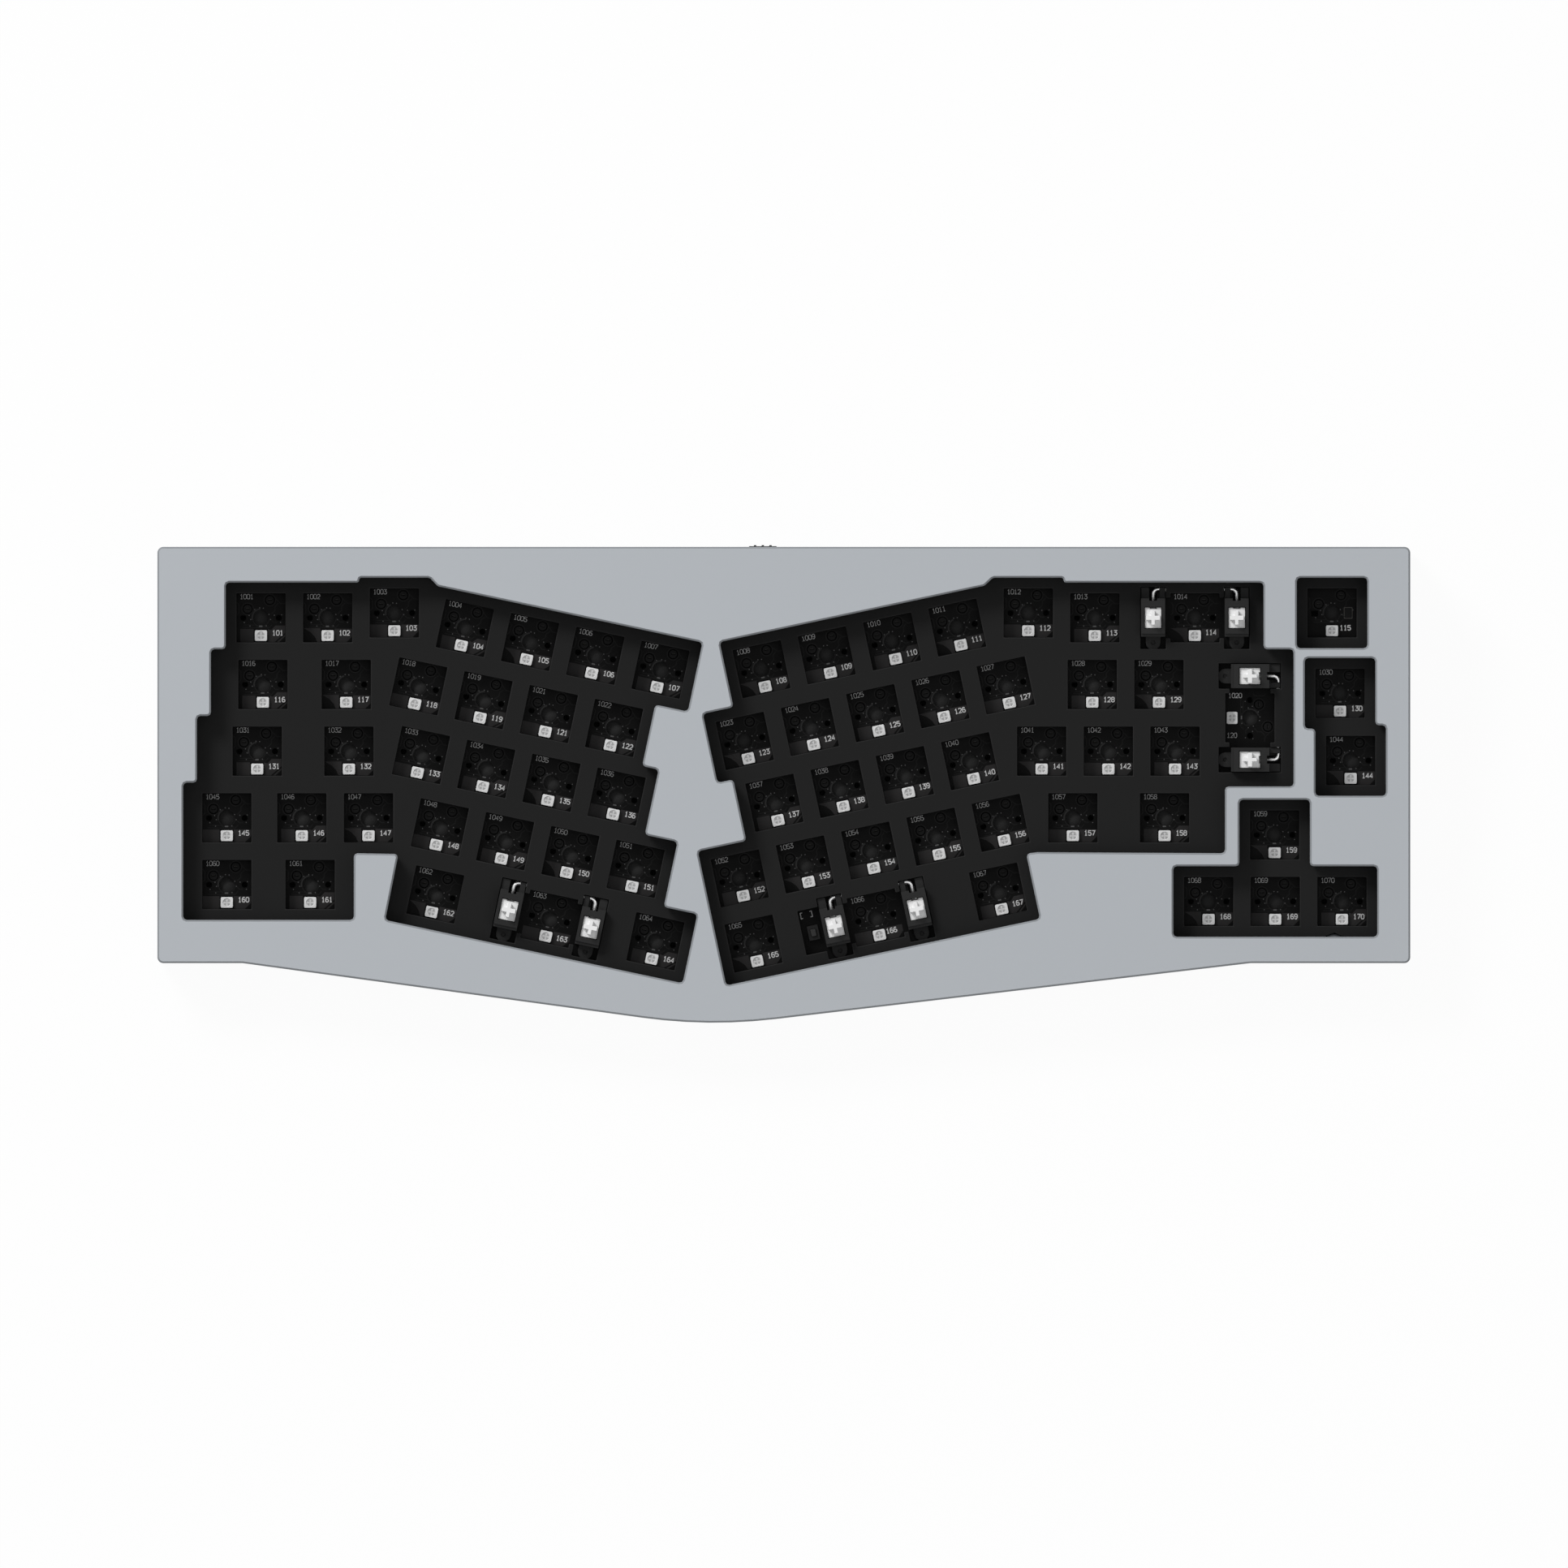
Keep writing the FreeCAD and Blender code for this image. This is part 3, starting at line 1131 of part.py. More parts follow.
def make_housing():
    """The left housing of a stabiliser, with its middle on the stem's axis and its inner side towards +X."""
    body = new_body("housing_pattern")
    half = "Sizes.housing_width / 2"
    slot = "(Sizes.wire_radius + 2 * Sizes.wire_slot_gap)"
    tall = f"Sizes.housing_height - ({BOARD_TOP})"
    main = rectangle(f"-{half}", half, "-Sizes.housing_front", "Sizes.housing_back")
    add_pad(body, new_sketch(body, "housing_main", BOARD_TOP, polygons=[main]), tall)

    outer_cheek = rectangle(f"-{half}", f"-{slot}", "Sizes.housing_back", "Sizes.cheek_back")
    add_pad(body, new_sketch(body, "housing_outer_cheek", BOARD_TOP, polygons=[outer_cheek]),
            f"-({BOARD_TOP}) - Sizes.cheek_drop", "outer_cheek")
    saddle = rectangle(slot, half, "Sizes.housing_back", "Sizes.cheek_back")
    add_pad(body, new_sketch(body, "housing_saddle", BOARD_TOP, polygons=[saddle]),
            f"-({BOARD_TOP}) - Sizes.wire_axis_drop - Sizes.wire_radius - Sizes.wire_slot_gap / 2", "saddle")
    hook_back = "Sizes.wire_axis_y - Sizes.wire_radius - Sizes.wire_slot_gap"
    hook = rectangle("Sizes.wire_bend + Sizes.wire_slot_gap", half, "Sizes.housing_back", hook_back)
    add_pad(body, new_sketch(body, "housing_hook", BOARD_TOP, polygons=[hook]),
            f"-({BOARD_TOP}) - Sizes.cheek_drop", "hook")
    claw = rectangle("Sizes.wire_bend + Sizes.wire_slot_gap", half, hook_back, "Sizes.cheek_back")
    claw_low = "-Sizes.wire_axis_drop + Sizes.wire_radius + Sizes.wire_slot_gap"
    add_pad(body, new_sketch(body, "housing_claw", claw_low, polygons=[claw]),
            f"-Sizes.cheek_drop - ({claw_low})", "claw")

    lug = rectangle("-Sizes.lug_radius", "Sizes.lug_radius", "-Sizes.lug_offset", "-Sizes.housing_front")
    lug_height = f"-({BOARD_TOP}) - Sizes.lug_drop"
    add_pad(body, new_sketch(body, "housing_web", BOARD_TOP, polygons=[lug]), lug_height, "web")
    ring = regular("0", "-Sizes.lug_offset", "Sizes.lug_radius", 12)
    add_pad(body, new_sketch(body, "housing_lug", BOARD_TOP, polygons=[ring]), lug_height, "lug")

    step = rectangle(f"-{half}", half, "-Sizes.housing_front", "-Sizes.housing_front + Sizes.housing_step")
    add_pocket(body, new_sketch(body, "housing_step", "Sizes.housing_height", polygons=[step]),
               "Sizes.housing_step", "step")
    shaft = centred("0", "0", "Sizes.stem_width + 2 * Sizes.stem_gap", "Sizes.stem_length + 2 * Sizes.stem_gap")
    add_pocket(body, new_sketch(body, "housing_shaft", "Sizes.housing_height", polygons=[shaft]), tall, "shaft")
    passage = rectangle(f"-{slot}", slot, "0", "Sizes.housing_back + 1")
    add_pocket(body, new_sketch(body, "housing_passage", BOARD_TOP, polygons=[passage]),
               f"-({BOARD_TOP}) + Sizes.wire_radius", "passage", upwards=True)
    notch = rectangle(f"-{slot}", slot, "Sizes.housing_back - Sizes.wire_radius", "Sizes.housing_back + 1")
    add_pocket(body, new_sketch(body, "housing_notch", "Sizes.housing_height", polygons=[notch]),
               tall, "notch")
    thread = regular("0", "-Sizes.lug_offset", "Sizes.stabiliser_screw_radius", 6)
    add_pocket(body, new_sketch(body, "housing_thread", BOARD_TOP, polygons=[thread]),
               "Sizes.stabiliser_screw_reach + Sizes.wire_slot_gap", "thread", upwards=True)
    pit = regular("0", "-Sizes.lug_offset", "Sizes.lug_pit_radius", 6)
    add_pocket(body, new_sketch(body, "housing_pit", "-Sizes.lug_drop", polygons=[pit]), "Sizes.lug_pit_depth",
               "pit")
    return body


def make_stem():
    """A stabiliser's stem: a block with a slot for the wire, and the cross that a key cap sits on."""
    body = new_body("stem_pattern")
    low = f"{BOARD_TOP} + Sizes.stem_foot_gap"
    block = centred("0", "0", "Sizes.stem_width", "Sizes.stem_length")
    add_pad(body, new_sketch(body, "stem_block", low, polygons=[block]), f"Sizes.stem_shoulder - ({low})")
    arm_x, arm_y, span = "Sizes.cross_arm_x / 2", "Sizes.cross_arm_y / 2", "Sizes.cross_span / 2"
    cross = [(f"-{span}", f"-{arm_y}"), (f"-{arm_x}", f"-{arm_y}"), (f"-{arm_x}", f"-{span}"), (arm_x, f"-{span}"),
             (arm_x, f"-{arm_y}"), (span, f"-{arm_y}"), (span, arm_y), (arm_x, arm_y), (arm_x, span),
             (f"-{arm_x}", span), (f"-{arm_x}", arm_y), (f"-{span}", arm_y)]
    add_pad(body, new_sketch(body, "stem_cross", "Sizes.stem_shoulder", polygons=[cross]), "Sizes.cross_height",
            "cross")
    slot = "(Sizes.wire_radius + Sizes.wire_slot_gap)"
    deep = "Sizes.wire_tip_y - 1.5 * Sizes.wire_slot_gap"
    eye_low = f"{low} + Sizes.wire_slot_gap * 2.5"
    eye_high = "-Sizes.wire_axis_drop + Sizes.wire_radius + 1.5 * Sizes.wire_slot_gap"
    eye = rectangle(f"-{slot}", slot, deep, "Sizes.stem_length")
    add_pocket(body, new_sketch(body, "stem_eye", eye_high, polygons=[eye]), f"{eye_high} - ({eye_low})", "eye")
    mouth = rectangle(f"-{slot}", slot, "Sizes.wire_slot_gap * 2", "Sizes.stem_length")
    add_pocket(body, new_sketch(body, "stem_mouth", eye_high, polygons=[mouth]), f"{eye_high} - ({low}) + 1",
               "mouth")
    groove = rectangle(f"-{slot} - 0.15", f"{slot} + 0.15", "Sizes.stem_length / 2 - 0.35", "Sizes.stem_length")
    add_pocket(body, new_sketch(body, "stem_groove", "Sizes.stem_shoulder", polygons=[groove]), "1.5", "groove")
    return body


def make_wire():
    """A stabiliser's wire, flat in its own frame: its long stretch lies on the X axis, its legs point to -Y."""
    spread, bend = size("stem_spread"), size("wire_bend")
    reach = size("wire_axis_y") - size("wire_tip_y")
    left_tip, left_corner = V(-spread, -reach, 0), V(-spread, 0, 0)
    right_corner, right_tip = V(spread, 0, 0), V(spread, -reach, 0)
    route = [left_tip] + rounded_corner(left_corner, left_tip, right_corner, bend)
    route += rounded_corner(right_corner, left_corner, right_tip, bend) + [right_tip]
    radius = size("wire_radius")
    turns = [math.radians(360 * (number + 0.5) / 8) for number in range(8)]
    ring = [left_tip + V(radius * math.cos(turn), 0, radius * math.sin(turn)) for turn in turns]
    section = Part.makePolygon(ring + ring[:1])
    return Part.makePolygon(route).makePipeShell([section], True, False, 1)


def make_stabilisers():
    """The five pieces of each of the four stabilisers, each its own node."""
    housing = make_housing()
    stem = make_stem()
    wire = make_wire()
    doc.recompute()
    mirrored = housing.Shape.mirror(V(0, 0, 0), RIGHT)
    nodes = []
    for name, key in WIDE_KEYS.items():
        for side, sign, shape in (("left", -1, housing.Shape), ("right", 1, mirrored)):
            spot = FreeCAD.Placement(V(sign * size("stem_spread"), 0, 0), FreeCAD.Rotation())
            place = key.place.multiply(spot)
            nodes.append(feature(f"{name}_{side}_housing", shape.copy(), place))
            nodes.append(feature(f"{name}_{side}_stem", stem.Shape.copy(), place))
        axis = V(0, size("wire_axis_y"), -size("wire_axis_drop"))
        lie = FreeCAD.Placement(axis, FreeCAD.Rotation(RIGHT, size("wire_rest_angle")))
        nodes.append(feature(f"{name}_wire", wire.copy(), key.place.multiply(lie)))
    return nodes


# Back edge and reset button

def make_inlet():
    """The cord's inlet: a rounded metal shell with the contact tongue in it."""
    mouth = "Sizes.back_edge - Sizes.usb_inset"
    back_wall = 1.2
    body = new_body("usb_shell")
    tube = slab_along_y(body, "usb_tube", "Sizes.usb_width", "Sizes.usb_height", "Sizes.usb_corner", "Sizes.usb_x",
                        USB_MIDDLE, f"{mouth} - Sizes.usb_depth", "Sizes.usb_depth")
    doc.recompute()
    front = next(number for number, face in enumerate(tube.Shape.Faces, start=1)
                 if face.normalAt(0, 0).y > 0.999)
    shell = body.newObject("PartDesign::Thickness", "usb_hollow")
    shell.Base = (tube, [f"Face{front}"])
    shell.setExpression("Value", "Sizes.usb_wall")
    shell.Reversed = True
    tongue = box("usb_blade", "Sizes.usb_x - 3.35", "Sizes.usb_x + 3.35", f"{mouth} - Sizes.usb_depth + {back_wall}",
                 f"{mouth} - 0.9", f"{USB_MIDDLE} - 0.35", f"{USB_MIDDLE} + 0.35")
    root = box("usb_root", "Sizes.usb_x - 3.8", "Sizes.usb_x + 3.8",
               f"{mouth} - Sizes.usb_depth + Sizes.usb_wall", f"{mouth} - Sizes.usb_depth + {back_wall} + 1",
               f"{USB_MIDDLE} - 0.9", f"{USB_MIDDLE} + 0.9")
    joined = fuse("usb_tongue", [tongue, root])
    joined.Label = "usb_tongue"
    return [body, joined]


def make_mode_switch():
    """The mode slide switch under the board, and its ribbed knob in the back wall."""
    face = "Sizes.back_edge - Sizes.mode_body_inset"
    middle = "Sizes.mode_x + Sizes.slider_travel / 2"
    block = box("mode_block", f"{middle} - Sizes.mode_body_width / 2", f"{middle} + Sizes.mode_body_width / 2",
                f"{face} - Sizes.mode_body_depth", face, f"{BOARD_BOTTOM} - Sizes.mode_body_height", BOARD_BOTTOM)
    run = "(Sizes.lever_width / 2 + Sizes.slider_travel / 2 + Sizes.lever_gap)"
    slot = box("mode_slot", f"{middle} - {run}", f"{middle} + {run}",
               f"{face} - Sizes.lever_reach - Sizes.lever_gap", f"{face} + 1",
               "-Sizes.mode_drop - Sizes.lever_height / 2 - Sizes.lever_gap",
               "-Sizes.mode_drop + Sizes.lever_height / 2 + Sizes.lever_gap")
    body = cut("mode_switch_body", block, slot)

    knob_front = f"{face} + Sizes.knob_gap"
    knob_back = "Sizes.back_edge + Sizes.knob_proud"
    pieces = [box("knob_block", "Sizes.mode_x - Sizes.knob_width / 2", "Sizes.mode_x + Sizes.knob_width / 2",
                  knob_front, knob_back, "-Sizes.mode_drop - Sizes.knob_height / 2",
                  "-Sizes.mode_drop + Sizes.knob_height / 2")]
    pieces.append(box("knob_lever", "Sizes.mode_x - Sizes.lever_width / 2", "Sizes.mode_x + Sizes.lever_width / 2",
                      f"{face} - Sizes.lever_reach", f"{knob_front} + 1",
                      "-Sizes.mode_drop - Sizes.lever_height / 2", "-Sizes.mode_drop + Sizes.lever_height / 2"))
    for number in (-1, 0, 1):
        ridge = f"Sizes.mode_x + {number} * Sizes.ridge_spacing"
        pieces.append(box(f"knob_ridge_{number + 2}", f"{ridge} - Sizes.ridge_width / 2",
                          f"{ridge} + Sizes.ridge_width / 2", f"{knob_back} - 0.5",
                          f"{knob_back} + Sizes.ridge_proud", "-Sizes.mode_drop - Sizes.knob_height / 2",
                          "-Sizes.mode_drop + Sizes.knob_height / 2"))
    knob = fuse("mode_switch_knob", pieces)
    knob.Label = "mode_switch_knob"
    return [body, knob]


def make_reset_switch():
    """The reset switch on the board beside the right space key's left stabiliser."""
    place = WIDE_KEYS["right_space"].place
    middle_x, middle_y = "Sizes.reset_x", "Sizes.reset_y"
    block = box("reset_block", f"{middle_x} - Sizes.reset_width / 2", f"{middle_x} + Sizes.reset_width / 2",
                f"{middle_y} - Sizes.reset_length / 2", f"{middle_y} + Sizes.reset_length / 2",
                BOARD_TOP, f"{BOARD_TOP} + Sizes.reset_height", place)
    wide = "(Sizes.reset_button_width / 2 + Sizes.reset_gap)"
    long = "(Sizes.reset_button_length / 2 + Sizes.reset_gap)"
    floor = f"{BOARD_TOP} + Sizes.reset_height / 2"
    well = box("reset_hole", f"{middle_x} - {wide}", f"{middle_x} + {wide}", f"{middle_y} - {long}",
               f"{middle_y} + {long}", floor, "0", place)
    body = cut("reset_switch_body", block, well)
    button = box("reset_button", f"{middle_x} - Sizes.reset_button_width / 2",
                 f"{middle_x} + Sizes.reset_button_width / 2", f"{middle_y} - Sizes.reset_button_length / 2",
                 f"{middle_y} + Sizes.reset_button_length / 2", f"{floor} + Sizes.reset_travel + Sizes.reset_gap",
                 f"{BOARD_TOP} + Sizes.reset_height + Sizes.reset_button_height", place)
    button.Label = "reset_button"
    return [body, button]


def check_objects():
    """Stop if any object failed, any cut missed its solid, or any shape is empty or broken."""
    for item in doc.Objects:
        if "Invalid" in item.State or "Error" in item.State:
            raise RuntimeError(f"{item.Name} failed: {item.State}")
        if item.TypeId == "PartDesign::Pocket":
            base = item.BaseFeature.Shape.Volume
            if item.Shape.Volume > base - 1e-3:
                raise RuntimeError(f"{item.Name} cuts nothing")


def main():
    nodes = [make_top_case(), make_bottom_case(), make_switch_plate(), make_plate_foam(), make_board(),
             make_case_foam()]
    nodes.append(make_gaskets("upper_gaskets", "0"))
    nodes.append(make_gaskets("lower_gaskets", LEDGE_TOP))
    nodes += [make_leds(), make_sockets()]
    nodes += make_chips()
    nodes += make_fasteners()
    nodes += make_stabilisers()
    nodes += make_inlet()
    nodes += make_mode_switch()
    nodes += make_reset_switch()
    feet = [foot_body(name, x, y, "0", in_plate_frame=False) for name, x, y in FEET]
    doc.recompute()
    check_objects()

    for node in nodes:
        node.Placement = SEAT.multiply(node.Placement)
    everything = nodes + feet
    bounds = FreeCAD.BoundBox()
    for node in everything:
        bounds.add(node.Shape.optimalBoundingBox(False))
    middle = FreeCAD.Placement(V(-bounds.Center.x, -bounds.Center.y, 0), FreeCAD.Rotation())
    for node in everything:
        node.Placement = middle.multiply(node.Placement)
    for node in everything:
        shape = node.Shape
        if shape.isNull() or not shape.isValid() or not shape.Solids:
            raise RuntimeError(f"{node.Label} has no sound shape")
    for node in everything:
        node.Shape.exportStep(f"parts/{node.Label}.step")
    print("nodes", len(everything), "bounds", bounds)


main()
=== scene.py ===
"""Looks of the angled keyboard: a material for every piece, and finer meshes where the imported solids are
plain.

Places are in the plate's frame, in millimetres: X to the right, Y to the back, Z square to the plate, with
the plate's top face at zero.
"""

import math

import bpy
from mathutils import Matrix, Vector
from mathutils.geometry import delaunay_2d_cdt


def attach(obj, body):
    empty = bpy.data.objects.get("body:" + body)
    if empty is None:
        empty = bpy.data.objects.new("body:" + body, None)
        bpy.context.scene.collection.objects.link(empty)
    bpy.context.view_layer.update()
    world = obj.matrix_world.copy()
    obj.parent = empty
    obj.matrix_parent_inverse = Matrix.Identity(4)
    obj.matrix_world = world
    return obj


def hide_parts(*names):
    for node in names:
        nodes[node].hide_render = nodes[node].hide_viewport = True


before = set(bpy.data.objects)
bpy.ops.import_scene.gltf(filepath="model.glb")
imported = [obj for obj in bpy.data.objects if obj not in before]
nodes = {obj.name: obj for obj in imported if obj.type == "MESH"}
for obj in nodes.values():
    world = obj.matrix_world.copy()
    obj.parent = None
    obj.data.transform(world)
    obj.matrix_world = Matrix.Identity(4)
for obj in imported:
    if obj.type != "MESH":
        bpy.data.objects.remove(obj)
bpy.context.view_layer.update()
scene = bpy.context.scene

MM = 0.001
STILL = Matrix.Identity(4)
# The typing angle, and where the middle of the plate's top face stands over the desk
TYPING_ANGLE = 5.2
SHIFT, PLATE_HEIGHT = -0.659, 19.9
TILT = Matrix.Rotation(math.radians(TYPING_ANGLE), 4, "X")
SEAT = Matrix.Translation((0, SHIFT, PLATE_HEIGHT)) @ TILT
DESK = Matrix.Translation((0, SHIFT, 0))

# The board's faces, and the case's outline: half its width, its straight edges, the ends of the front slopes
# and the point where they meet
BOARD_TOP, BOARD_BOTTOM = -5.0, -6.6
HALF_WIDTH, BACK_EDGE, FRONT_EDGE = 178.9, 67.9, -51.0
SLOPE_LEFT, SLOPE_RIGHT = -154.6, 133.3
APEX_X, APEX_Y = -21.3, -69.2

# The key rows: block, left edge of the first key, distance behind the block's origin, both in key widths, and
# the width of each key. BLOCKS holds each block's origin and its turn in degrees.
PITCH = 19.05
BLOCKS = {"straight": (-159.07, -28.57, 0), "left": (-91.08, 44.69, -12), "right": (-6.37, 32.96, 12)}
ROWS = (
    ("straight", 0.012, 4.0, (1, 1)),
    ("straight", 2.012, 4.073, (1,)),
    ("left", -0.5, 0.0, (1, 1, 1, 1)),
    ("right", -0.5, 0.0, (1, 1, 1, 1)),
    ("straight", 11.515, 4.073, (1,)),
    ("straight", 12.513, 4.0, (1, 2)),
    ("straight", 16.069, 4.073, (1,)),
    ("straight", -0.209, 3.0, (1.5, 1)),
    ("left", -1.0, -1.0, (1, 1, 1, 1)),
    ("right", -0.97, -1.0, (1, 1, 1, 1, 1)),
    ("straight", 12.475, 3.0, (1, 1)),
    ("straight", 16.189, 2.868, (1,)),
    ("straight", -0.419, 2.0, (1.75, 1)),
    ("left", -0.747, -2.0, (1, 1, 1, 1)),
    ("right", -0.728, -2.0, (1, 1, 1, 1)),
    ("straight", 11.716, 2.0, (1, 1, 1)),
    ("straight", 16.348, 1.86, (1,)),
    ("straight", -0.625, 1.0, (1.25, 1, 1)),
    ("left", -0.245, -3.0, (1, 1, 1, 1)),
    ("right", -1.472, -3.0, (1, 1, 1, 1, 1)),
    ("straight", 12.184, 1.0, (1, 1.75)),
    ("straight", 15.208, 0.745, (1,)),
    ("straight", -0.625, 0.0, (1.25, 1.25)),
    ("left", -0.229, -4.0, (1.25, 2.25, 1)),
    ("right", -1.474, -4.0, (1, 2.75, 1)),
    ("straight", 14.218, -0.253, (1, 1, 1)),
)
WIDE = {("straight", 2): "backspace", ("left", 2.25): "left_space", ("right", 2.75): "right_space"}
# The turned enter key: its number in the order of the keys, and its place in key widths. The knob's well is
# known by its place in millimetres.
ENTER_KEY = 19
ENTER_PLACE = (15.338, 2.5)
KNOB_PLACE = (156.57, 49.02)
STEM_SPREAD = 11.94


# Meshes

class Mesh:
    """Corners and faces that are gathered into one piece; each face carries the number of its material."""

    def __init__(self):
        self.corners, self.faces, self.marks = [], [], []

    def add(self, place, corners, faces, mark=0):
        start = len(self.corners)
        self.corners += [place @ Vector(corner) for corner in corners]
        self.faces += [[start + number for number in face] for face in faces]
        self.marks += [mark] * len(faces)

    def loft(self, place, rings, mark=0, marks=None, caps=(True, True)):
        """Side faces between closed rings of equal count, in an order that faces them outwards, with caps."""
        count = len(rings[0])
        corners = [corner for ring in rings for corner in ring]
        for level in range(len(rings) - 1):
            faces = []
            for number in range(count):
                following = (number + 1) % count
                low, high = level * count, (level + 1) * count
                faces.append((low + number, low + following, high + following, high + number))
            self.add(place, corners, faces, marks[level] if marks else mark)
        if caps[0]:
            self.add(place, rings[0], [tuple(reversed(range(count)))], mark)
        if caps[1]:
            self.add(place, rings[-1], [tuple(range(count))], marks[-1] if marks else mark)

    def prism(self, place, outline, low, high, mark=0):
        self.loft(place, [[(x, y, low) for x, y in outline], [(x, y, high) for x, y in outline]], mark)

    def ribbon(self, place, points, width, low, high, mark=0):
        """A flat band of constant width along a line, with mitred corners."""
        sharpest = 0.35
        points = [Vector(point) for point in points]
        left, right = [], []
        for number, point in enumerate(points):
            before = points[max(number - 1, 0)]
            after = points[min(number + 1, len(points) - 1)]
            first = (point - before).normalized() if number else (after - point).normalized()
            second = (after - point).normalized() if number < len(points) - 1 else first
            side = Vector((-first.y - second.y, first.x + second.x))
            side *= width / 2 / max(1 + first.dot(second), sharpest)
            left.append(point + side)
            right.append(point - side)
        rings = [[(r.x, r.y, low), (r.x, r.y, high), (q.x, q.y, high), (q.x, q.y, low)]
                 for q, r in zip(left, right)]
        self.loft(place, rings, mark)

    def piece(self, name, body, slot, materials, smooth=0.0, seat=SEAT):
        """The finished piece: it rides on a body and takes the materials it is given; its slot is not
        used.
        """
        mesh = bpy.data.meshes.new(name)
        mesh.from_pydata([(seat @ corner) * MM for corner in self.corners], [], self.faces)
        mesh.polygons.foreach_set("material_index", self.marks)
        for material in materials:
            mesh.materials.append(material)
        if smooth:
            mesh.polygons.foreach_set("use_smooth", [True] * len(mesh.polygons))
        mesh.update()
        made = bpy.data.objects.new(name, mesh)
        scene.collection.objects.link(made)
        if smooth:
            weld(made)
            sharp = made.modifiers.new("sharp", "EDGE_SPLIT")
            sharp.split_angle = math.radians(smooth)
        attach(made, body)
        return made


def weld(made):
    """Join corners that lie on each other, to 0.002 mm."""
    joined = made.modifiers.new("joined", "WELD")
    joined.merge_threshold = 2e-6


def circle(x, y, radius, count=24):
    turns = [2 * math.pi * number / count for number in range(count)]
    return [(x + radius * math.cos(turn), y + radius * math.sin(turn)) for turn in turns]


def rounded_box(x, y, width, length, radius, steps=5):
    """The outline of a rectangle with round corners, anticlockwise."""
    points = []
    for number, (side_x, side_y) in enumerate(((1, 1), (-1, 1), (-1, -1), (1, -1))):
        middle = (x + side_x * (width / 2 - radius), y + side_y * (length / 2 - radius))
        for step in range(steps + 1):
            turn = math.pi / 2 * (number + step / steps)
            points.append((middle[0] + radius * math.cos(turn), middle[1] + radius * math.sin(turn)))
    return points


def boxed(x, y, half_width, half_length, count):
    """Points on the edge of a rectangle, in the directions of an even circle of the same count."""
    points = []
    for number in range(count):
        turn = 2 * math.pi * number / count
        across, along = math.cos(turn), math.sin(turn)
        reach = 1 / max(abs(across) / half_width, abs(along) / half_length)
        points.append((x + across * reach, y + along * reach))
    return points


def at(points, height):
    """A flat outline at a height."""
    return [(x, y, height) for x, y in points]


# Materials

# The noise lies between these values nearly everywhere
NOISE_LOW, NOISE_HIGH = 0.3, 0.7
GRAIN_HEIGHT = 0.00005


def material(name, colour, roughness, metallic=0.0, specular=0.5, patches=0.06, patch_size=18.0,
             grain_size=0.25, grain=0.12, gloss_change=0.06, slope_shade=1.0):
    """A surface with soft patches of lighter and darker colour, uneven gloss and a fine raised grain.

    The sizes are in millimetres, patches is the change of colour, grain the strength of the relief, and
    the last argument the share of the colour that is left on chamfers, which paints shade into them.
    """
    made = bpy.data.materials.new(name)
    made.use_nodes = True
    tree = made.node_tree
    shader = tree.nodes["Principled BSDF"]
    shader.inputs["Metallic"].default_value = metallic
    shader.inputs["Specular IOR Level"].default_value = specular
    coordinates = tree.nodes.new("ShaderNodeTexCoord")

    def noise(size, detail):
        node = tree.nodes.new("ShaderNodeTexNoise")
        node.inputs["Scale"].default_value = 1 / (size * MM)
        node.inputs["Detail"].default_value = detail
        tree.links.new(coordinates.outputs["Object"], node.inputs["Vector"])
        return node

    large, fine = noise(patch_size, 3.0), noise(grain_size, 2.0)
    shades = tree.nodes.new("ShaderNodeMix")
    shades.data_type = "RGBA"
    shades.inputs["A"].default_value = [channel * (1 - patches) for channel in colour] + [1]
    shades.inputs["B"].default_value = [min(channel * (1 + patches), 1.0) for channel in colour] + [1]
    # Half of the shade comes from the patches and half from the grain
    blend = tree.nodes.new("ShaderNodeMath")
    blend.operation = "MULTIPLY_ADD"
    blend.inputs[1].default_value = 0.5
    tree.links.new(large.outputs["Fac"], blend.inputs[0])
    halved = tree.nodes.new("ShaderNodeMath")
    halved.operation = "MULTIPLY"
    halved.inputs[1].default_value = 0.5
    tree.links.new(fine.outputs["Fac"], halved.inputs[0])
    tree.links.new(halved.outputs[0], blend.inputs[2])
    tree.links.new(blend.outputs[0], shades.inputs["Factor"])
    # Painted shade: chamfers and rounded rims are darkened in the colour itself
    if slope_shade < 1:
        shaded = paint_slope_shade(tree, shades.outputs["Result"], slope_shade)
    else:
        shaded = shades.outputs["Result"]
    tree.links.new(shaded, shader.inputs["Base Color"])
    gloss = tree.nodes.new("ShaderNodeMapRange")
    gloss.inputs["From Min"].default_value = NOISE_LOW
    gloss.inputs["From Max"].default_value = NOISE_HIGH
    gloss.inputs["To Min"].default_value = roughness - gloss_change
    gloss.inputs["To Max"].default_value = roughness + gloss_change
    tree.links.new(large.outputs["Fac"], gloss.inputs["Value"])
    tree.links.new(gloss.outputs["Result"], shader.inputs["Roughness"])
    bump = tree.nodes.new("ShaderNodeBump")
    bump.inputs["Strength"].default_value = grain
    bump.inputs["Distance"].default_value = GRAIN_HEIGHT
    tree.links.new(fine.outputs["Fac"], bump.inputs["Height"])
    tree.links.new(bump.outputs["Normal"], shader.inputs["Normal"])
    return made


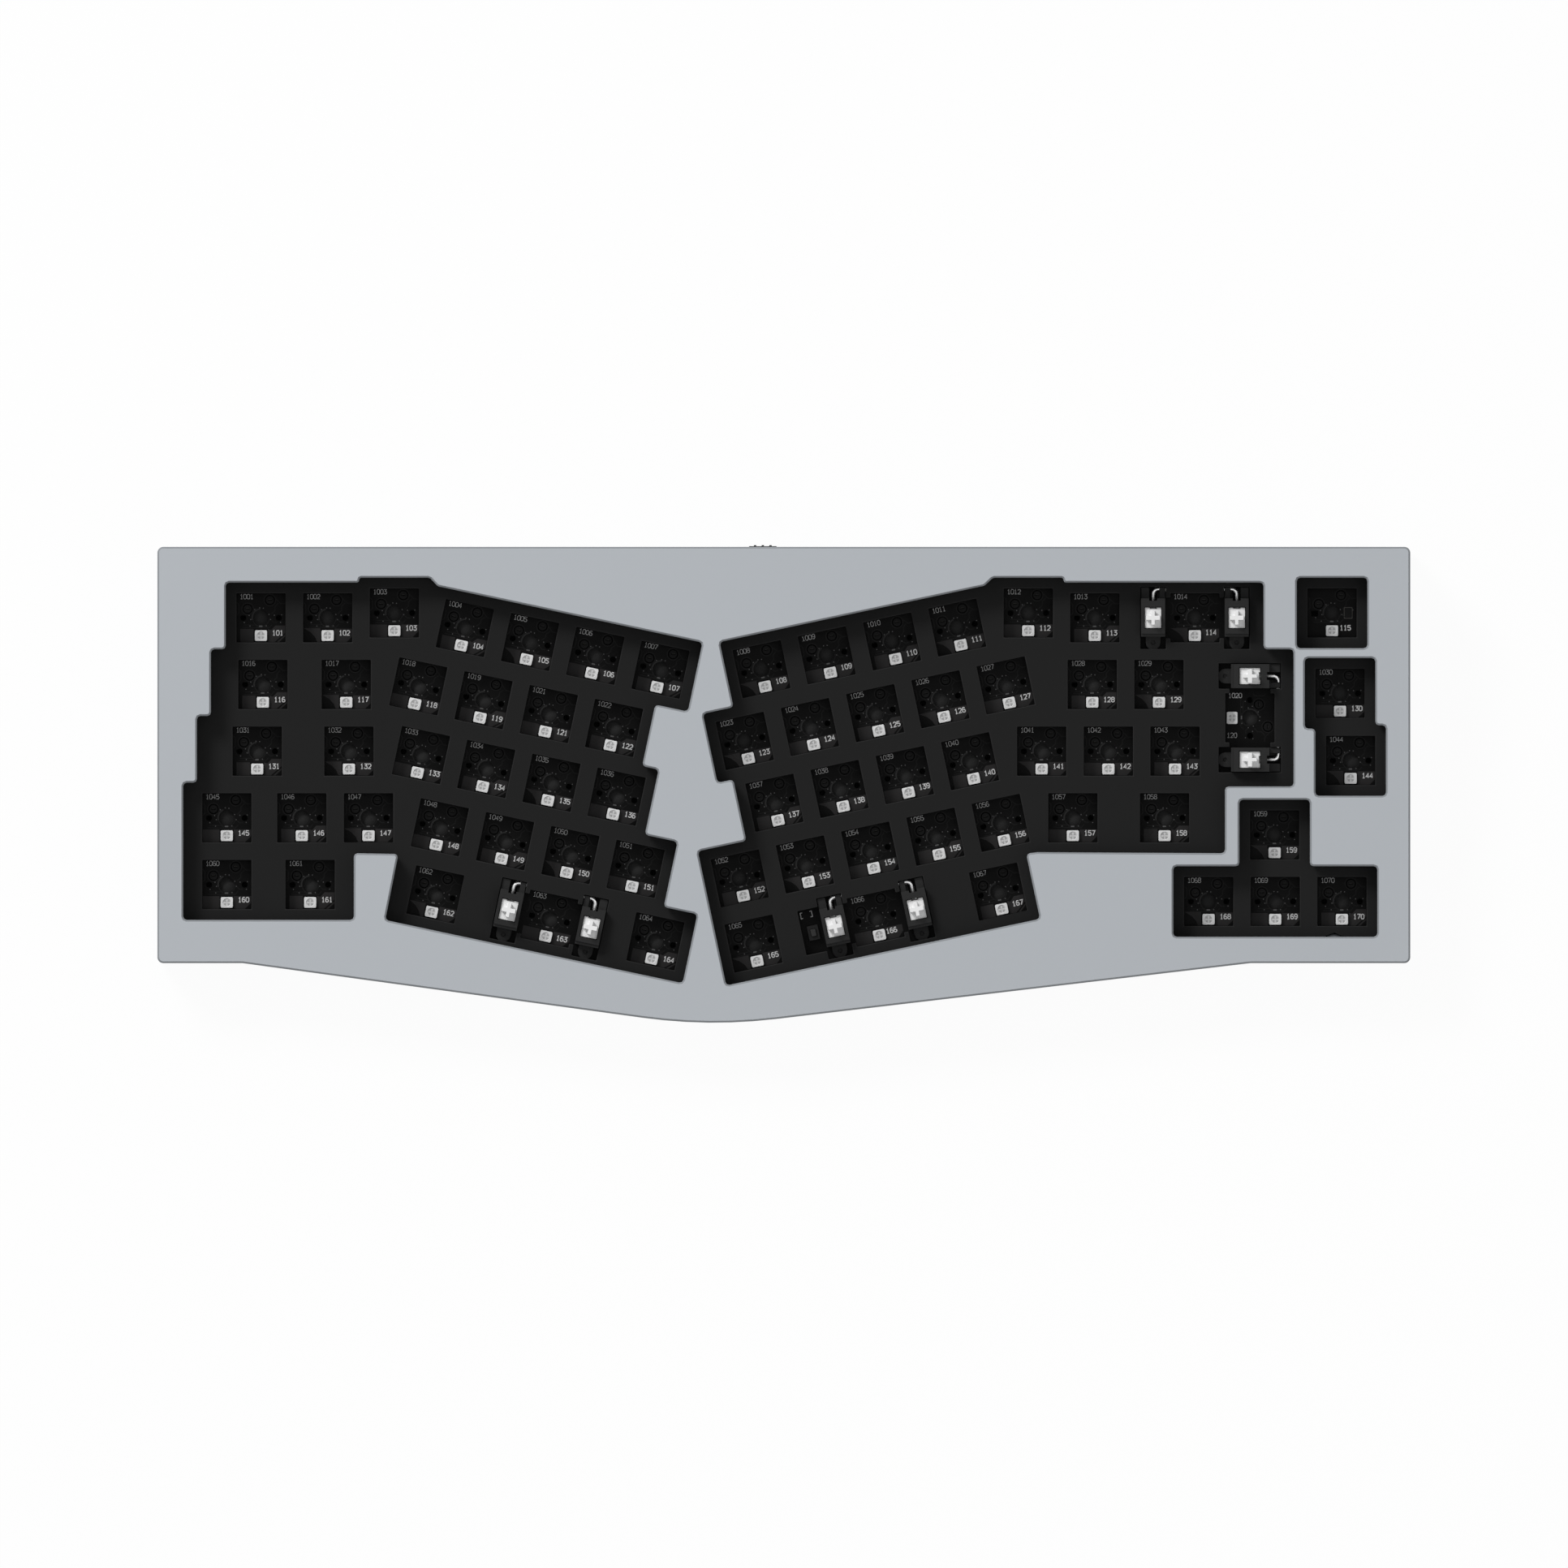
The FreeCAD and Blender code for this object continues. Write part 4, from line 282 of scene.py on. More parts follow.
def paint_slope_shade(tree, colour, share):
    """Painted shade: the colour, brought down to a share of itself where the surface leans between the plate's
    face and its sides, so that chamfers carry in their colour the shade that falls on them. The stops are
    cosines of the angle to the plate's face."""
    facing = tree.nodes.new("ShaderNodeNewGeometry")
    upright = tree.nodes.new("ShaderNodeVectorMath")
    upright.operation = "DOT_PRODUCT"
    upright.inputs[1].default_value = TILT @ Vector((0, 0, 1))
    tree.links.new(facing.outputs["True Normal"], upright.inputs[0])
    ramp = tree.nodes.new("ShaderNodeValToRGB")
    stops = ramp.color_ramp.elements
    for place, level in ((0.3, 1.0), (0.45, share), (0.85, share), (0.97, 1.0)):
        stop = stops.new(place)
        stop.color = (level, level, level, 1)
    stops.remove(stops[0])
    darker = tree.nodes.new("ShaderNodeMix")
    darker.data_type = "RGBA"
    darker.blend_type = "MULTIPLY"
    darker.inputs["Factor"].default_value = 1.0
    tree.links.new(upright.outputs["Value"], ramp.inputs["Fac"])
    tree.links.new(colour, darker.inputs["A"])
    tree.links.new(ramp.outputs["Color"], darker.inputs["B"])
    return darker.outputs["Result"]


def grey(level, tint=(1.0, 1.0, 1.0)):
    return tuple(level * channel for channel in tint)


finish = {
    # The case's chamfers are darkened to 0.58 of its colour, a painted shade
    "case": material("case_coat", (0.449, 0.474, 0.503), 0.58, metallic=0.08, specular=0.3, patches=0.012,
                     patch_size=60.0, grain_size=0.12, grain=0.18, slope_shade=0.58),
    "plate": material("plate_coat", grey(0.0142), 0.55, specular=0.05, patches=0.05, grain_size=0.1,
                      grain=0.25),
    # Painted highlight: the plate's rounded edges take a lighter colour than its face, in place of the light
    # that catches its rims
    "plate_edge_highlight": material("plate_edge_highlight", grey(0.0215), 0.5, specular=0.05, patches=0.05, grain_size=0.1,
                           grain=0.2),
    "board": material("board_mask", grey(0.0034), 0.36, specular=0.05, patches=0.15, patch_size=6.0,
                      grain=0.06),
    "copper": material("board_copper", grey(0.0075), 0.32, specular=0.08, patches=0.12, patch_size=3.0,
                       grain=0.06),
    "bright_copper": material("bright_copper", grey(0.016), 0.32, specular=0.1, patches=0.2, patch_size=2.0,
                              grain=0.06),
    "pour": material("board_pour", grey(0.0215, (1.04, 0.99, 1.0)), 0.32, specular=0.08, patches=0.1,
                     patch_size=4.0, grain=0.06),
    "tin": material("board_tin", grey(0.05), 0.35, metallic=0.6, patches=0.15, patch_size=1.0, grain=0.1),
    "thin_ink": material("thin_ink", grey(0.45), 0.6, specular=0.2, patches=0.12, patch_size=0.8, grain=0.2),
    "bold_ink": material("bold_ink", grey(0.62), 0.6, specular=0.2, patches=0.08, patch_size=0.8, grain=0.2),
    "foam": material("foam", grey(0.035), 0.9, specular=0.05, patches=0.25, patch_size=2.0, grain_size=0.5,
                     grain=0.8, gloss_change=0.03),
    "gasket": material("gasket", grey(0.03), 0.85, specular=0.08, patches=0.2, patch_size=2.0, grain_size=0.3,
                       grain=0.6, gloss_change=0.03),
    "lamp": material("lamp_body", grey(0.8), 0.45, specular=0.3, patches=0.02, patch_size=1.5, grain=0.05),
    "lamp_cup": material("lamp_cup", grey(0.66), 0.35, specular=0.4, patches=0.04, patch_size=0.8,
                         grain=0.05),
    "lamp_pad": material("lamp_pad", grey(0.4), 0.4, specular=0.4, patches=0.08, patch_size=0.6, grain=0.1),
    "socket": material("socket", grey(0.0052), 0.45, specular=0.08, patches=0.1, patch_size=3.0, grain=0.15),
    "contact": material("contact", grey(0.03, (1.0, 0.95, 0.85)), 0.4, metallic=0.5, patches=0.1,
                        patch_size=1.0, grain=0.1),
    "chip": material("chip", grey(0.012), 0.5, specular=0.3, patches=0.1, patch_size=2.0, grain=0.3),
    "screw": material("screw", grey(0.09), 0.35, metallic=1.0, patches=0.1, patch_size=2.0, grain=0.1),
    "spacer": material("spacer", grey(0.45, (1.0, 0.8, 0.45)), 0.35, metallic=1.0, patches=0.08,
                       patch_size=2.0, grain=0.1),
    "housing": material("housing", grey(0.0165), 0.5, specular=0.14, patches=0.08, patch_size=4.0, grain=0.2),
    "stem": material("stem", grey(0.86), 0.4, specular=0.35, patches=0.015, patch_size=3.0, grain=0.08),
    "wire": material("wire", grey(0.86), 0.36, metallic=1.0, patches=0.04, patch_size=3.0, grain_size=0.5,
                     grain=0.06, gloss_change=0.05),
    "inlet_shell": material("inlet_shell", grey(0.5), 0.28, metallic=1.0, patches=0.06, patch_size=3.0,
                            grain=0.08),
    "inlet_tongue": material("inlet_tongue", grey(0.012), 0.4, patches=0.08, patch_size=2.0, grain=0.1),
    "gold": material("gold", grey(0.7, (1.0, 0.75, 0.35)), 0.25, metallic=1.0, patches=0.05, patch_size=1.0,
                     grain=0.05),
    "switch_body": material("switch_body", grey(0.012), 0.45, specular=0.12, patches=0.08, patch_size=2.0,
                            grain=0.1),
    "knob": material("knob", grey(0.02), 0.5, specular=0.3, patches=0.08, patch_size=2.0, grain=0.25),
    "reset_button": material("reset_button", grey(0.028), 0.4, specular=0.15, patches=0.05, patch_size=1.0,
                             grain=0.1),
    "foot": material("foot", grey(0.018), 0.8, specular=0.2, patches=0.1, patch_size=5.0, grain_size=0.4,
                     grain=0.5),
}


# Keys

def lay_out_keys():
    """The place of every switch with its name, which is empty unless the key has a stabiliser."""
    keys = []
    for block, edge, line, widths in ROWS:
        block_x, block_y, angle = BLOCKS[block]
        origin = Matrix.Translation((block_x, block_y, 0)) @ Matrix.Rotation(math.radians(angle), 4, "Z")
        left = edge
        for width in widths:
            offset = Matrix.Translation(((left + width / 2) * PITCH, line * PITCH, 0))
            keys.append((origin @ offset, WIDE.get((block, width), "")))
            left += width
    straight_x, straight_y, _ = BLOCKS["straight"]
    across, along = ENTER_PLACE
    turned = Matrix.Translation((straight_x + across * PITCH, straight_y + along * PITCH, 0))
    keys.insert(ENTER_KEY, (turned @ Matrix.Rotation(math.radians(-90), 4, "Z"), "enter"))
    return keys


keys = lay_out_keys()
knob_key = next(place for place, _ in keys if (place.translation.xy - Vector(KNOB_PLACE)).length < 0.1)
wide_keys = {name: place for place, name in keys if name}


# Circuit board

# Strokes of the digits, in a cell as wide as DIGIT_WIDTH and 1 high.
DIGIT_WIDTH = 0.6
DIGITS = {
    "0": (((0.0, 0.2), (0.0, 0.8), (0.15, 1.0), (0.45, 1.0), (0.6, 0.8), (0.6, 0.2), (0.45, 0.0), (0.15, 0.0),
           (0.0, 0.2)),),
    "1": (((0.1, 0.75), (0.3, 1.0), (0.3, 0.0)), ((0.1, 0.0), (0.5, 0.0))),
    "2": (((0.0, 0.8), (0.15, 1.0), (0.45, 1.0), (0.6, 0.8), (0.6, 0.6), (0.0, 0.0), (0.6, 0.0)),),
    "3": (((0.0, 1.0), (0.6, 1.0), (0.25, 0.6), (0.45, 0.6), (0.6, 0.42), (0.6, 0.2), (0.45, 0.0),
           (0.15, 0.0), (0.0, 0.2)),),
    "4": (((0.45, 0.0), (0.45, 1.0), (0.0, 0.3), (0.6, 0.3)),),
    "5": (((0.6, 1.0), (0.05, 1.0), (0.0, 0.58), (0.42, 0.6), (0.6, 0.42), (0.6, 0.2), (0.45, 0.0),
           (0.15, 0.0), (0.0, 0.15)),),
    "6": (((0.55, 0.9), (0.42, 1.0), (0.2, 1.0), (0.0, 0.7), (0.0, 0.2), (0.15, 0.0), (0.45, 0.0), (0.6, 0.2),
           (0.6, 0.38), (0.45, 0.56), (0.15, 0.56), (0.0, 0.38)),),
    "7": (((0.0, 1.0), (0.6, 1.0), (0.2, 0.0)),),
    "8": (((0.15, 0.55), (0.02, 0.7), (0.02, 0.85), (0.15, 1.0), (0.45, 1.0), (0.58, 0.85), (0.58, 0.7),
           (0.45, 0.55), (0.15, 0.55), (0.0, 0.38), (0.0, 0.17), (0.15, 0.0), (0.45, 0.0), (0.6, 0.17),
           (0.6, 0.38), (0.45, 0.55)),),
    "9": (((0.05, 0.1), (0.18, 0.0), (0.4, 0.0), (0.6, 0.3), (0.6, 0.8), (0.45, 1.0), (0.15, 1.0), (0.0, 0.8),
           (0.0, 0.62), (0.15, 0.44), (0.45, 0.44), (0.6, 0.62)),),
}
# Places in a key's own frame: the two barrels of the socket, and the printed number beside the lamp
BARRELS = ((-3.81, 2.54), (2.54, 5.08))
LAMP_NUMBERS = {"": (4.8, -4.3), "backspace": (4.6, -4.15), "left_space": (4.64, -4.86),
                "right_space": (3.66, -4.46), "knob": (3.8, -4.24)}
SWITCH_NUMBER = (-4.08, 6.05)
ENTER_NUMBERS = ((-4.21, 6.38), (-5.13, -4.98))

# Lower and upper face of the ink, and the two kinds of number: height, distance of the digits and stroke
INK = (BOARD_TOP + 0.01, BOARD_TOP + 0.04)
THIN, BOLD = (1.3, 0.98, 0.17), (1.32, 1.08, 0.27)

# Copper: the height of tracks, fields, vias and pads above the board
TRACK_RISE, FIELD_RISE, VIA_RISE, PAD_RISE = 0.03, 0.012, 0.045, 0.05
TRACK_WIDTH = 0.22
TRACKS = (
    ((-6.9, 4.4), (-6.3, 3.8), (-6.3, 1.4), (-6.9, 0.8)),
    ((-5.0, -2.05), (-1.6, -2.05), (-1.1, -2.5), (2.2, -2.5)),
    ((-5.4, -2.7), (2.3, -2.9), (3.2, -1.9)),
    ((4.3, 5.4), (5.6, 4.1), (6.9, 4.1)),
    ((2.95, 1.1), (4.0, 2.1), (4.0, 3.2), (5.0, 4.2)),
    ((3.0, -0.7), (3.6, -1.3), (4.6, -1.3)),
)
# Three sets of lighter fields, which the keys take in turn
FIELDS = (
    (((-5.9, -3.15), (-5.9, -6.9), (-2.1, -6.9), (-2.1, -3.15)),
     ((1.95, -3.2), (1.95, -6.9), (3.9, -6.9), (6.9, -4.3), (6.9, -2.2), (4.1, -2.2), (2.9, -3.5)),
     ((4.5, -6.9), (5.2, -6.9), (6.9, -5.3), (6.9, -4.8))),
    (((-6.9, -2.95), (-4.9, -4.1), (-3.6, -5.5), (-3.0, -6.9), (-2.1, -6.9), (-2.1, -2.95)),
     ((1.95, -3.1), (1.95, -6.9), (5.4, -6.9), (6.9, -5.4), (6.9, -3.1))),
    (((-6.9, -3.3), (-6.9, -6.9), (-2.1, -6.9), (-2.1, -3.3)),
     ((1.95, -3.3), (1.95, -6.9), (5.2, -6.9), (6.9, -5.2), (6.9, -3.3))),
)
VIA_RADIUS = 0.16
VIAS = ((2.29, 0.96), (2.75, -0.49), (-2.95, -0.49), (-3.38, 0.67), (-1.8, 2.35), (-0.37, 2.85),
        (0.67, 2.75), (-3.15, -2.35), (-4.77, -1.36), (3.8, 0.75), (5.9, 0.85), (5.6, -1.3), (1.5, -2.3))


def write_number(mesh, place, digits, middle, height, pitch, stroke):
    """Digits in a row round a middle point, on the board's face."""
    left = middle[0] - (pitch * (len(digits) - 1) + DIGIT_WIDTH * height) / 2
    for number, digit in enumerate(digits):
        for line in DIGITS[digit]:
            points = [(left + number * pitch + x * height, middle[1] + (y - 0.5) * height) for x, y in line]
            mesh.ribbon(place, points, stroke, *INK)


def board_rim(inset):
    """The case's outline moved inwards, with the tongue of the board into the back bay."""
    left, right = inset - HALF_WIDTH, HALF_WIDTH - inset
    back, front = BACK_EDGE - inset, FRONT_EDGE + inset
    mitre = 1.01
    apex = APEX_Y + inset * mitre
    tongue_left, tongue_right, tongue_back = -30.4, 2.9, 64.5
    return [(left, front), (SLOPE_LEFT, front), (APEX_X, apex), (SLOPE_RIGHT, front), (right, front),
            (right, back), (tongue_right, back), (tongue_right, tongue_back), (tongue_left, tongue_back),
            (tongue_left, back), (left, back)]


def sheet_with_holes(mesh, rim, holes, low, high):
    """A sheet between two heights; the rim runs anticlockwise and every hole is convex."""
    loops = [rim] + [list(reversed(hole)) for hole in holes]
    points = [Vector(point) for loop in loops for point in loop]
    edges, owner, start = [], [], 0
    for number, loop in enumerate(loops):
        edges += [(start + step, start + (step + 1) % len(loop)) for step in range(len(loop))]
        owner += [number] * len(loop)
        start += len(loop)
    flat = delaunay_2d_cdt(points, edges, [list(range(len(rim)))], 1, 1e-5)
    found, triangles, origins = flat[0], flat[2], flat[3]
    of_loop = [owner[source[0]] if source else 0 for source in origins]
    # A triangle whose corners all lie on one hole's rim closes that hole, so it goes
    kept = []
    for triangle in triangles:
        loop = of_loop[triangle[0]]
        if loop == 0 or any(of_loop[corner] != loop for corner in triangle):
            kept.append(triangle)
    mesh.add(STILL, [(point.x, point.y, high) for point in found], kept)
    mesh.add(STILL, [(point.x, point.y, low) for point in found], [tuple(reversed(face)) for face in kept])
    for loop in loops:
        mesh.loft(STILL, [at(loop, low), at(loop, high)], caps=(False, False))


def local(place, points):
    """An outline in a key's own frame, seen from the plate's."""
    return [tuple((place @ Vector((x, y, 0))).xy) for x, y in points]


def make_board():
    """Board with its round holes, rings, vias, tracks and plain numbers."""
    post, barrel, pin, wire_screw = 2.15, 1.5, 0.86, 1.0
    pin_spread, wire_screw_y, knob_slot = 5.08, -7.1, 0.98
    holes = []
    for place, name in keys:
        cuts = [circle(0, 0, post, 28)]
        cuts += [circle(x, y, barrel, 22) for x, y in BARRELS]
        if place is knob_key:
            cuts += [boxed(-5.0, 0, knob_slot, knob_slot, 16)]
        else:
            cuts += [circle(side * pin_spread, 0, pin, 16) for side in (-1, 1)]
        if name:
            cuts += [circle(side * STEM_SPREAD, wire_screw_y, wire_screw, 12) for side in (-1, 1)]
        holes += [local(place, cut) for cut in cuts]
    board = Mesh()
    sheet_with_holes(board, board_rim(inset=8.3), holes, BOARD_BOTTOM, BOARD_TOP)
    made = board.piece("board_sheet", "case", "board", [finish["board"]])
    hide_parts("pcb")

    copper, tin = Mesh(), Mesh()
    for number, (place, name) in enumerate(keys):
        add_tracks(copper, tin, place, number, place is knob_key or name == "enter")
    copper.piece("board_tracks", "case", "board",
                 [finish["copper"], finish["bright_copper"], finish["pour"], finish["tin"]])
    tin.piece("board_vias", "case", "board", [finish["tin"]])

    thin, bold = Mesh(), Mesh()
    for number, (place, name) in enumerate(keys, start=1):
        if name == "enter":
            upright = Matrix.Translation(place.translation)
            for first, middle in zip((1000, 100), ENTER_NUMBERS):
                write_number(thin, upright, f"{first + number}", middle, *THIN)
            continue
        if place is not knob_key:
            write_number(thin, place, f"{1000 + number}", SWITCH_NUMBER, *THIN)
        middle = LAMP_NUMBERS["knob" if place is knob_key else name]
        write_number(bold, place, f"{100 + number}", middle, *BOLD)
    for closed, opened in ((-20.9, -20.3), (-17.6, -18.2)):
        bracket = ((opened, 5.7), (closed, 5.7), (closed, 4.1), (opened, 4.1))
        bold.ribbon(wide_keys["right_space"], bracket, BOLD[2], *INK)
    thin.piece("switch_numbers", "case", "board", [finish["thin_ink"]])
    bold.piece("lamp_numbers", "case", "board", [finish["bold_ink"]])


def add_tracks(copper, tin, place, number, bare):
    """Pads, tracks and vias round one switch, and lighter fields of copper unless it is bare."""
    face = BOARD_TOP
    for x, y in BARRELS:
        add_arc(copper, place, x, y, 1.52, 1.78, 0, 360)
    add_arc(copper, place, 0, 0, 2.3, 2.75, 95 + 9 * (number % 3), 195, mark=1)
    add_arc(copper, place, 0, 0, 2.3, 2.55, 200, 360)
    # A small shift, so that no two switches look the same
    wave = math.sin(number * 2.4)
    for line in TRACKS:
        copper.ribbon(place, [(x, y + 0.1 * wave) for x, y in line], TRACK_WIDTH, face, face + TRACK_RISE)
    copper.prism(place, rounded_box(-0.08, -2.42, 1.0, 0.4, 0.1, 2), face, face + PAD_RISE, 3)
    for field in () if bare else FIELDS[number % 3]:
        copper.prism(place, field, face, face + FIELD_RISE, 2)
    for x, y in VIAS:
        tin.prism(place, circle(x + 0.08 * wave, y, VIA_RADIUS, 8), face, face + VIA_RISE)


def add_arc(mesh, place, x, y, inner, outer, first, last, mark=0):
    """A flat raised arc between two angles in degrees, with a corner about every 12 degrees."""
    face, raised = BOARD_TOP, BOARD_TOP + TRACK_RISE
    section = ((inner, face), (inner, raised), (outer, raised), (outer, face))
    count = max(int((last - first) / 12), 2)
    rings = []
    for step in range(count + 1):
        turn = math.radians(first + (last - first) * step / count)
        across, along = math.cos(turn), math.sin(turn)
        rings.append([(x + reach * across, y + reach * along, height) for reach, height in section])
    mesh.loft(place, rings, mark)


def make_sockets():
    """The barrels of the sockets, which stand in the board's holes, with the contacts in their slots."""
    radius, top, edge = 1.22, -5.26, 0.08
    barrels, contacts = Mesh(), Mesh()
    for place, _ in keys:
        for x, y in BARRELS:
            rings = [at(circle(x, y, radius), BOARD_BOTTOM), at(circle(x, y, radius), top - edge),
                     at(circle(x, y, radius - edge), top), at(boxed(x, y, 0.64, 0.2, 24), top),
                     at(boxed(x, y, 0.6, 0.16, 24), -6.45)]
            barrels.loft(place, rings)
            contacts.prism(place, rounded_box(x, y + 0.14, 1.0, 0.08, 0.03, 2), -6.4, -5.7)
        if place is knob_key:
            pad = BOARD_TOP + 0.03
            contacts.prism(place, rounded_box(4.6, 0, 2.5, 3.3, 0.3), BOARD_TOP, pad)
            barrels.prism(place, rounded_box(4.6, 0, 2.1, 2.9, 0.25), pad, BOARD_TOP + 0.3)
    barrels.piece("socket_barrels", "case", "socket", [finish["socket"]], smooth=40)
    contacts.piece("socket_contacts", "case", "socket", [finish["contact"]])


def make_foam_rises():
    """Round rises of the foam in the case, which close the middle holes of the board from below."""
    rises = Mesh()
    for place, _ in keys:
        rises.loft(place, [at(circle(0, 0, radius), height)
                           for radius, height in ((2.32, -9.2), (2.32, -6.75), (2.15, -6.62))])
    rises.piece("foam_rises", "case", "foam", [finish["foam"]], smooth=50)


def make_lamps():
    """White packages with a round cup and four pads in it."""
    lamps = Mesh()
    count = 32
    half_width, half_length, edge = 1.75, 1.55, 0.07
    shoulder, top, cup, pads = -3.98, -3.9, -4.12, -4.07
    for place, _ in keys:
        lamp = place @ Matrix.Translation((0, -5.1, 0))
        case = boxed(0, 0, half_width, half_length, count)
        rings = [at(case, BOARD_TOP), at(case, shoulder),
                 at(boxed(0, 0, half_width - edge, half_length - edge, count), top),
                 at(circle(0, 0, 1.2, count), top), at(circle(0, 0, 1.08, count), cup)]
        lamps.loft(lamp, rings, marks=[0, 0, 0, 0, 1])
        for quarter in range(4):
            turn = math.pi / 2 * quarter + math.pi / 4
            corner = (0.24 * math.cos(turn), 0.24 * math.sin(turn))
            rim = circle(0, 0, 0.98, 40)
            arc = [rim[(10 * quarter + step) % 40] for step in range(2, 9)]
            lamps.prism(lamp, [corner] + arc, cup, pads, 2)
    made = lamps.piece("lamp_packages", "case", "lamp",
                       [finish["lamp"], finish["lamp_cup"], finish["lamp_pad"]])
    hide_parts("leds")


# Stabilisers

def make_wires():
    """Round steel wires with bent ends, each riding on its own body."""
    spread, bend, radius, reach = STEM_SPREAD, 1.6, 0.7, 9.8
    pin_y, pin_z, lean = 8.2, -2.5, 5.6
    bends = [math.radians(angle) for angle in range(0, 91, 9)]
    # The rounded tips: radius of each ring, and its distance along the wire
    turns = [math.radians(angle) for angle in (30, 60, 90)]
    tip = [(0.02, 0.0)] + [(radius * math.sin(turn), radius * (1 - math.cos(turn))) for turn in turns]
    # Middle points along the wire between the tips, with the direction in which its outer side looks
    path = [(bend - spread - bend * math.cos(turn), bend * math.sin(turn) - bend, 180 - math.degrees(turn))
            for turn in bends]
    path += [(spread - bend + bend * math.sin(turn), bend * math.cos(turn) - bend, 90 - math.degrees(turn))
             for turn in bends]
    for name, place in wide_keys.items():
        lie = (place @ Matrix.Translation((0, pin_y, pin_z))
               @ Matrix.Rotation(math.radians(lean), 4, "X"))
        rings = [wire_ring(-spread, back - reach, 180.0, size) for size, back in tip]
        rings += [wire_ring(x, y, side, radius) for x, y, side in path]
        rings += [wire_ring(spread, back - reach, 0.0, size) for size, back in reversed(tip)]
        wire = Mesh()
        wire.loft(lie, rings)
        made = wire.piece(f"{name}_round_wire", f"{name}_wire", "wire", [finish["wire"]], smooth=60)
        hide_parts(f"{name}_wire")


def wire_ring(x, y, side, radius):
    """A ring round the wire; side is the direction, in degrees, in which its outer side looks."""
    count = 16
    across = Vector((math.cos(math.radians(side)), math.sin(math.radians(side)), 0))
    ring = []
    for number in range(count):
        turn = 2 * math.pi * number / count
        ring.append(Vector((x, y, 0)) + across * radius * math.cos(turn)
                    - Vector((0, 0, radius * math.sin(turn))))
    return ring


# Fasteners, inlet and feet

def screw_spots():
    """The places of the eight case screws: four corners, two at the back edge and two at the front slopes."""
    inset, corner = 4.3, 157.2
    back, front = BACK_EDGE - inset, FRONT_EDGE + inset
    spots = [(side * corner, y) for side in (-1, 1) for y in (back, front)]
    spots += [(x, back) for x in (-62.0, 22.0)]
    for x, end in ((-80.0, SLOPE_LEFT), (50.0, SLOPE_RIGHT)):
        fall = (FRONT_EDGE - APEX_Y) / (APEX_X - end)
        spots.append((x, FRONT_EDGE - fall * (x - end) + inset / math.cos(math.atan(fall))))
    return spots


def make_boss_collars():
    """Round shoulders on the top frame's screw bosses, in the plate's notches."""
    profile = ((3.2, -4.0), (4.1, -4.0), (4.1, -2.2), (3.85, -1.7), (3.3, -1.4), (3.2, -1.4))
    collars = Mesh()
    for x, y in screw_spots():
        collars.loft(STILL, [at(circle(x, y, radius, 40), height) for radius, height in profile])
    collars.piece("boss_collars", "case", "case", [finish["case"]], smooth=60)


def make_case_screws():
    """Socket head screws in the underside, with a six-sided socket, a soft-edged head and a thread."""
    seat, socket, sides, steps = -8.5, 1.25, 6, 4
    head = ((2.1, -1.6), (2.34, -1.45), (2.36, 0))
    thread, core, start, rise, turns = 1.2, 1.02, 0.5, 0.66, 14
    screws = Mesh()
    for x, y in screw_spots():
        flat = []
        for step in range(sides * steps):
            corner, share = step // steps, (step % steps) / steps
            first, last = math.radians(60 * corner), math.radians(60 * (corner + 1))
            flat.append((socket * ((1 - share) * math.cos(first) + share * math.cos(last)),
                         socket * ((1 - share) * math.sin(first) + share * math.sin(last))))
        rings = [at(flat, -0.7), at(flat, -1.58)]
        rings += [at(circle(0, 0, radius), height) for radius, height in head]
        rings.append(at(circle(0, 0, thread), 0))
        for turn in range(turns):
            rings.append(at(circle(0, 0, thread), start + rise * turn))
            rings.append(at(circle(0, 0, core), start + rise * turn + rise / 2))
        screws.loft(Matrix.Translation((x, y, seat)), rings)
    made = screws.piece("socket_head_screws", "case", "screw", [finish["screw"]], smooth=35)
    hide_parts("case_screws")


def make_inlet():
    """The round-cornered metal mouth of the cord's inlet, and the contacts on its tongue."""
    mouth_x, mouth_y, below_board, deep = -21.0, BACK_EDGE - 2.3, 1.63, 7.35
    turned = (Matrix.Translation((mouth_x, mouth_y, BOARD_BOTTOM - below_board))
              @ Matrix.Rotation(math.radians(-90), 4, "X"))
    outer = rounded_box(0, 0, 8.94, 3.26, 1.5, 8)
    lip = rounded_box(0, 0, 8.7, 3.02, 1.38, 8)
    inner = rounded_box(0, 0, 8.24, 2.56, 1.15, 8)
    rings = [at(outer, -deep), at(outer, -0.12), at(lip, 0), at(inner, -0.1), at(inner, 0.35 - deep)]
    shell = Mesh()
    shell.loft(turned, rings)
    made = shell.piece("inlet_mouth", "case", "inlet_shell", [finish["inlet_shell"]], smooth=50)
    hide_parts("usb_shell")
    pitch, row = 0.5, 12
    contacts = Mesh()
    for number in range(row):
        x = pitch * number - pitch * (row - 1) / 2
        for side in (-1, 1):
            contacts.prism(turned, rounded_box(x, side * 0.35, 0.26, 0.04, 0.01, 1), -4.9, -1.3)
    contacts.piece("inlet_contacts", "case", "inlet_tongue", [finish["gold"]])


def make_feet():
    """Rubber feet with round corners and a soft lower edge."""
    width, length, radius = 33.9, 8.9, 2.6
    profile = ((0.75, 0.0), (0.3, 0.08), (0.08, 0.3), (0.0, 0.75), (0.0, 2.8))
    for name, x, y in (("front_left_foot", -146.0, -39.0), ("front_right_foot", 146.0, -39.0),
                       ("back_left_foot", -146.0, 58.0), ("back_right_foot", 146.0, 58.0)):
        rings = [at(rounded_box(x, y, width - 2 * inset, length - 2 * inset, radius - inset, 7), height)
                 for inset, height in profile]
        foot = Mesh()
        foot.loft(STILL, rings)
        made = foot.piece(f"{name}_pad", "case", "foot", [finish["foot"]], smooth=50, seat=DESK)
        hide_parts(name)


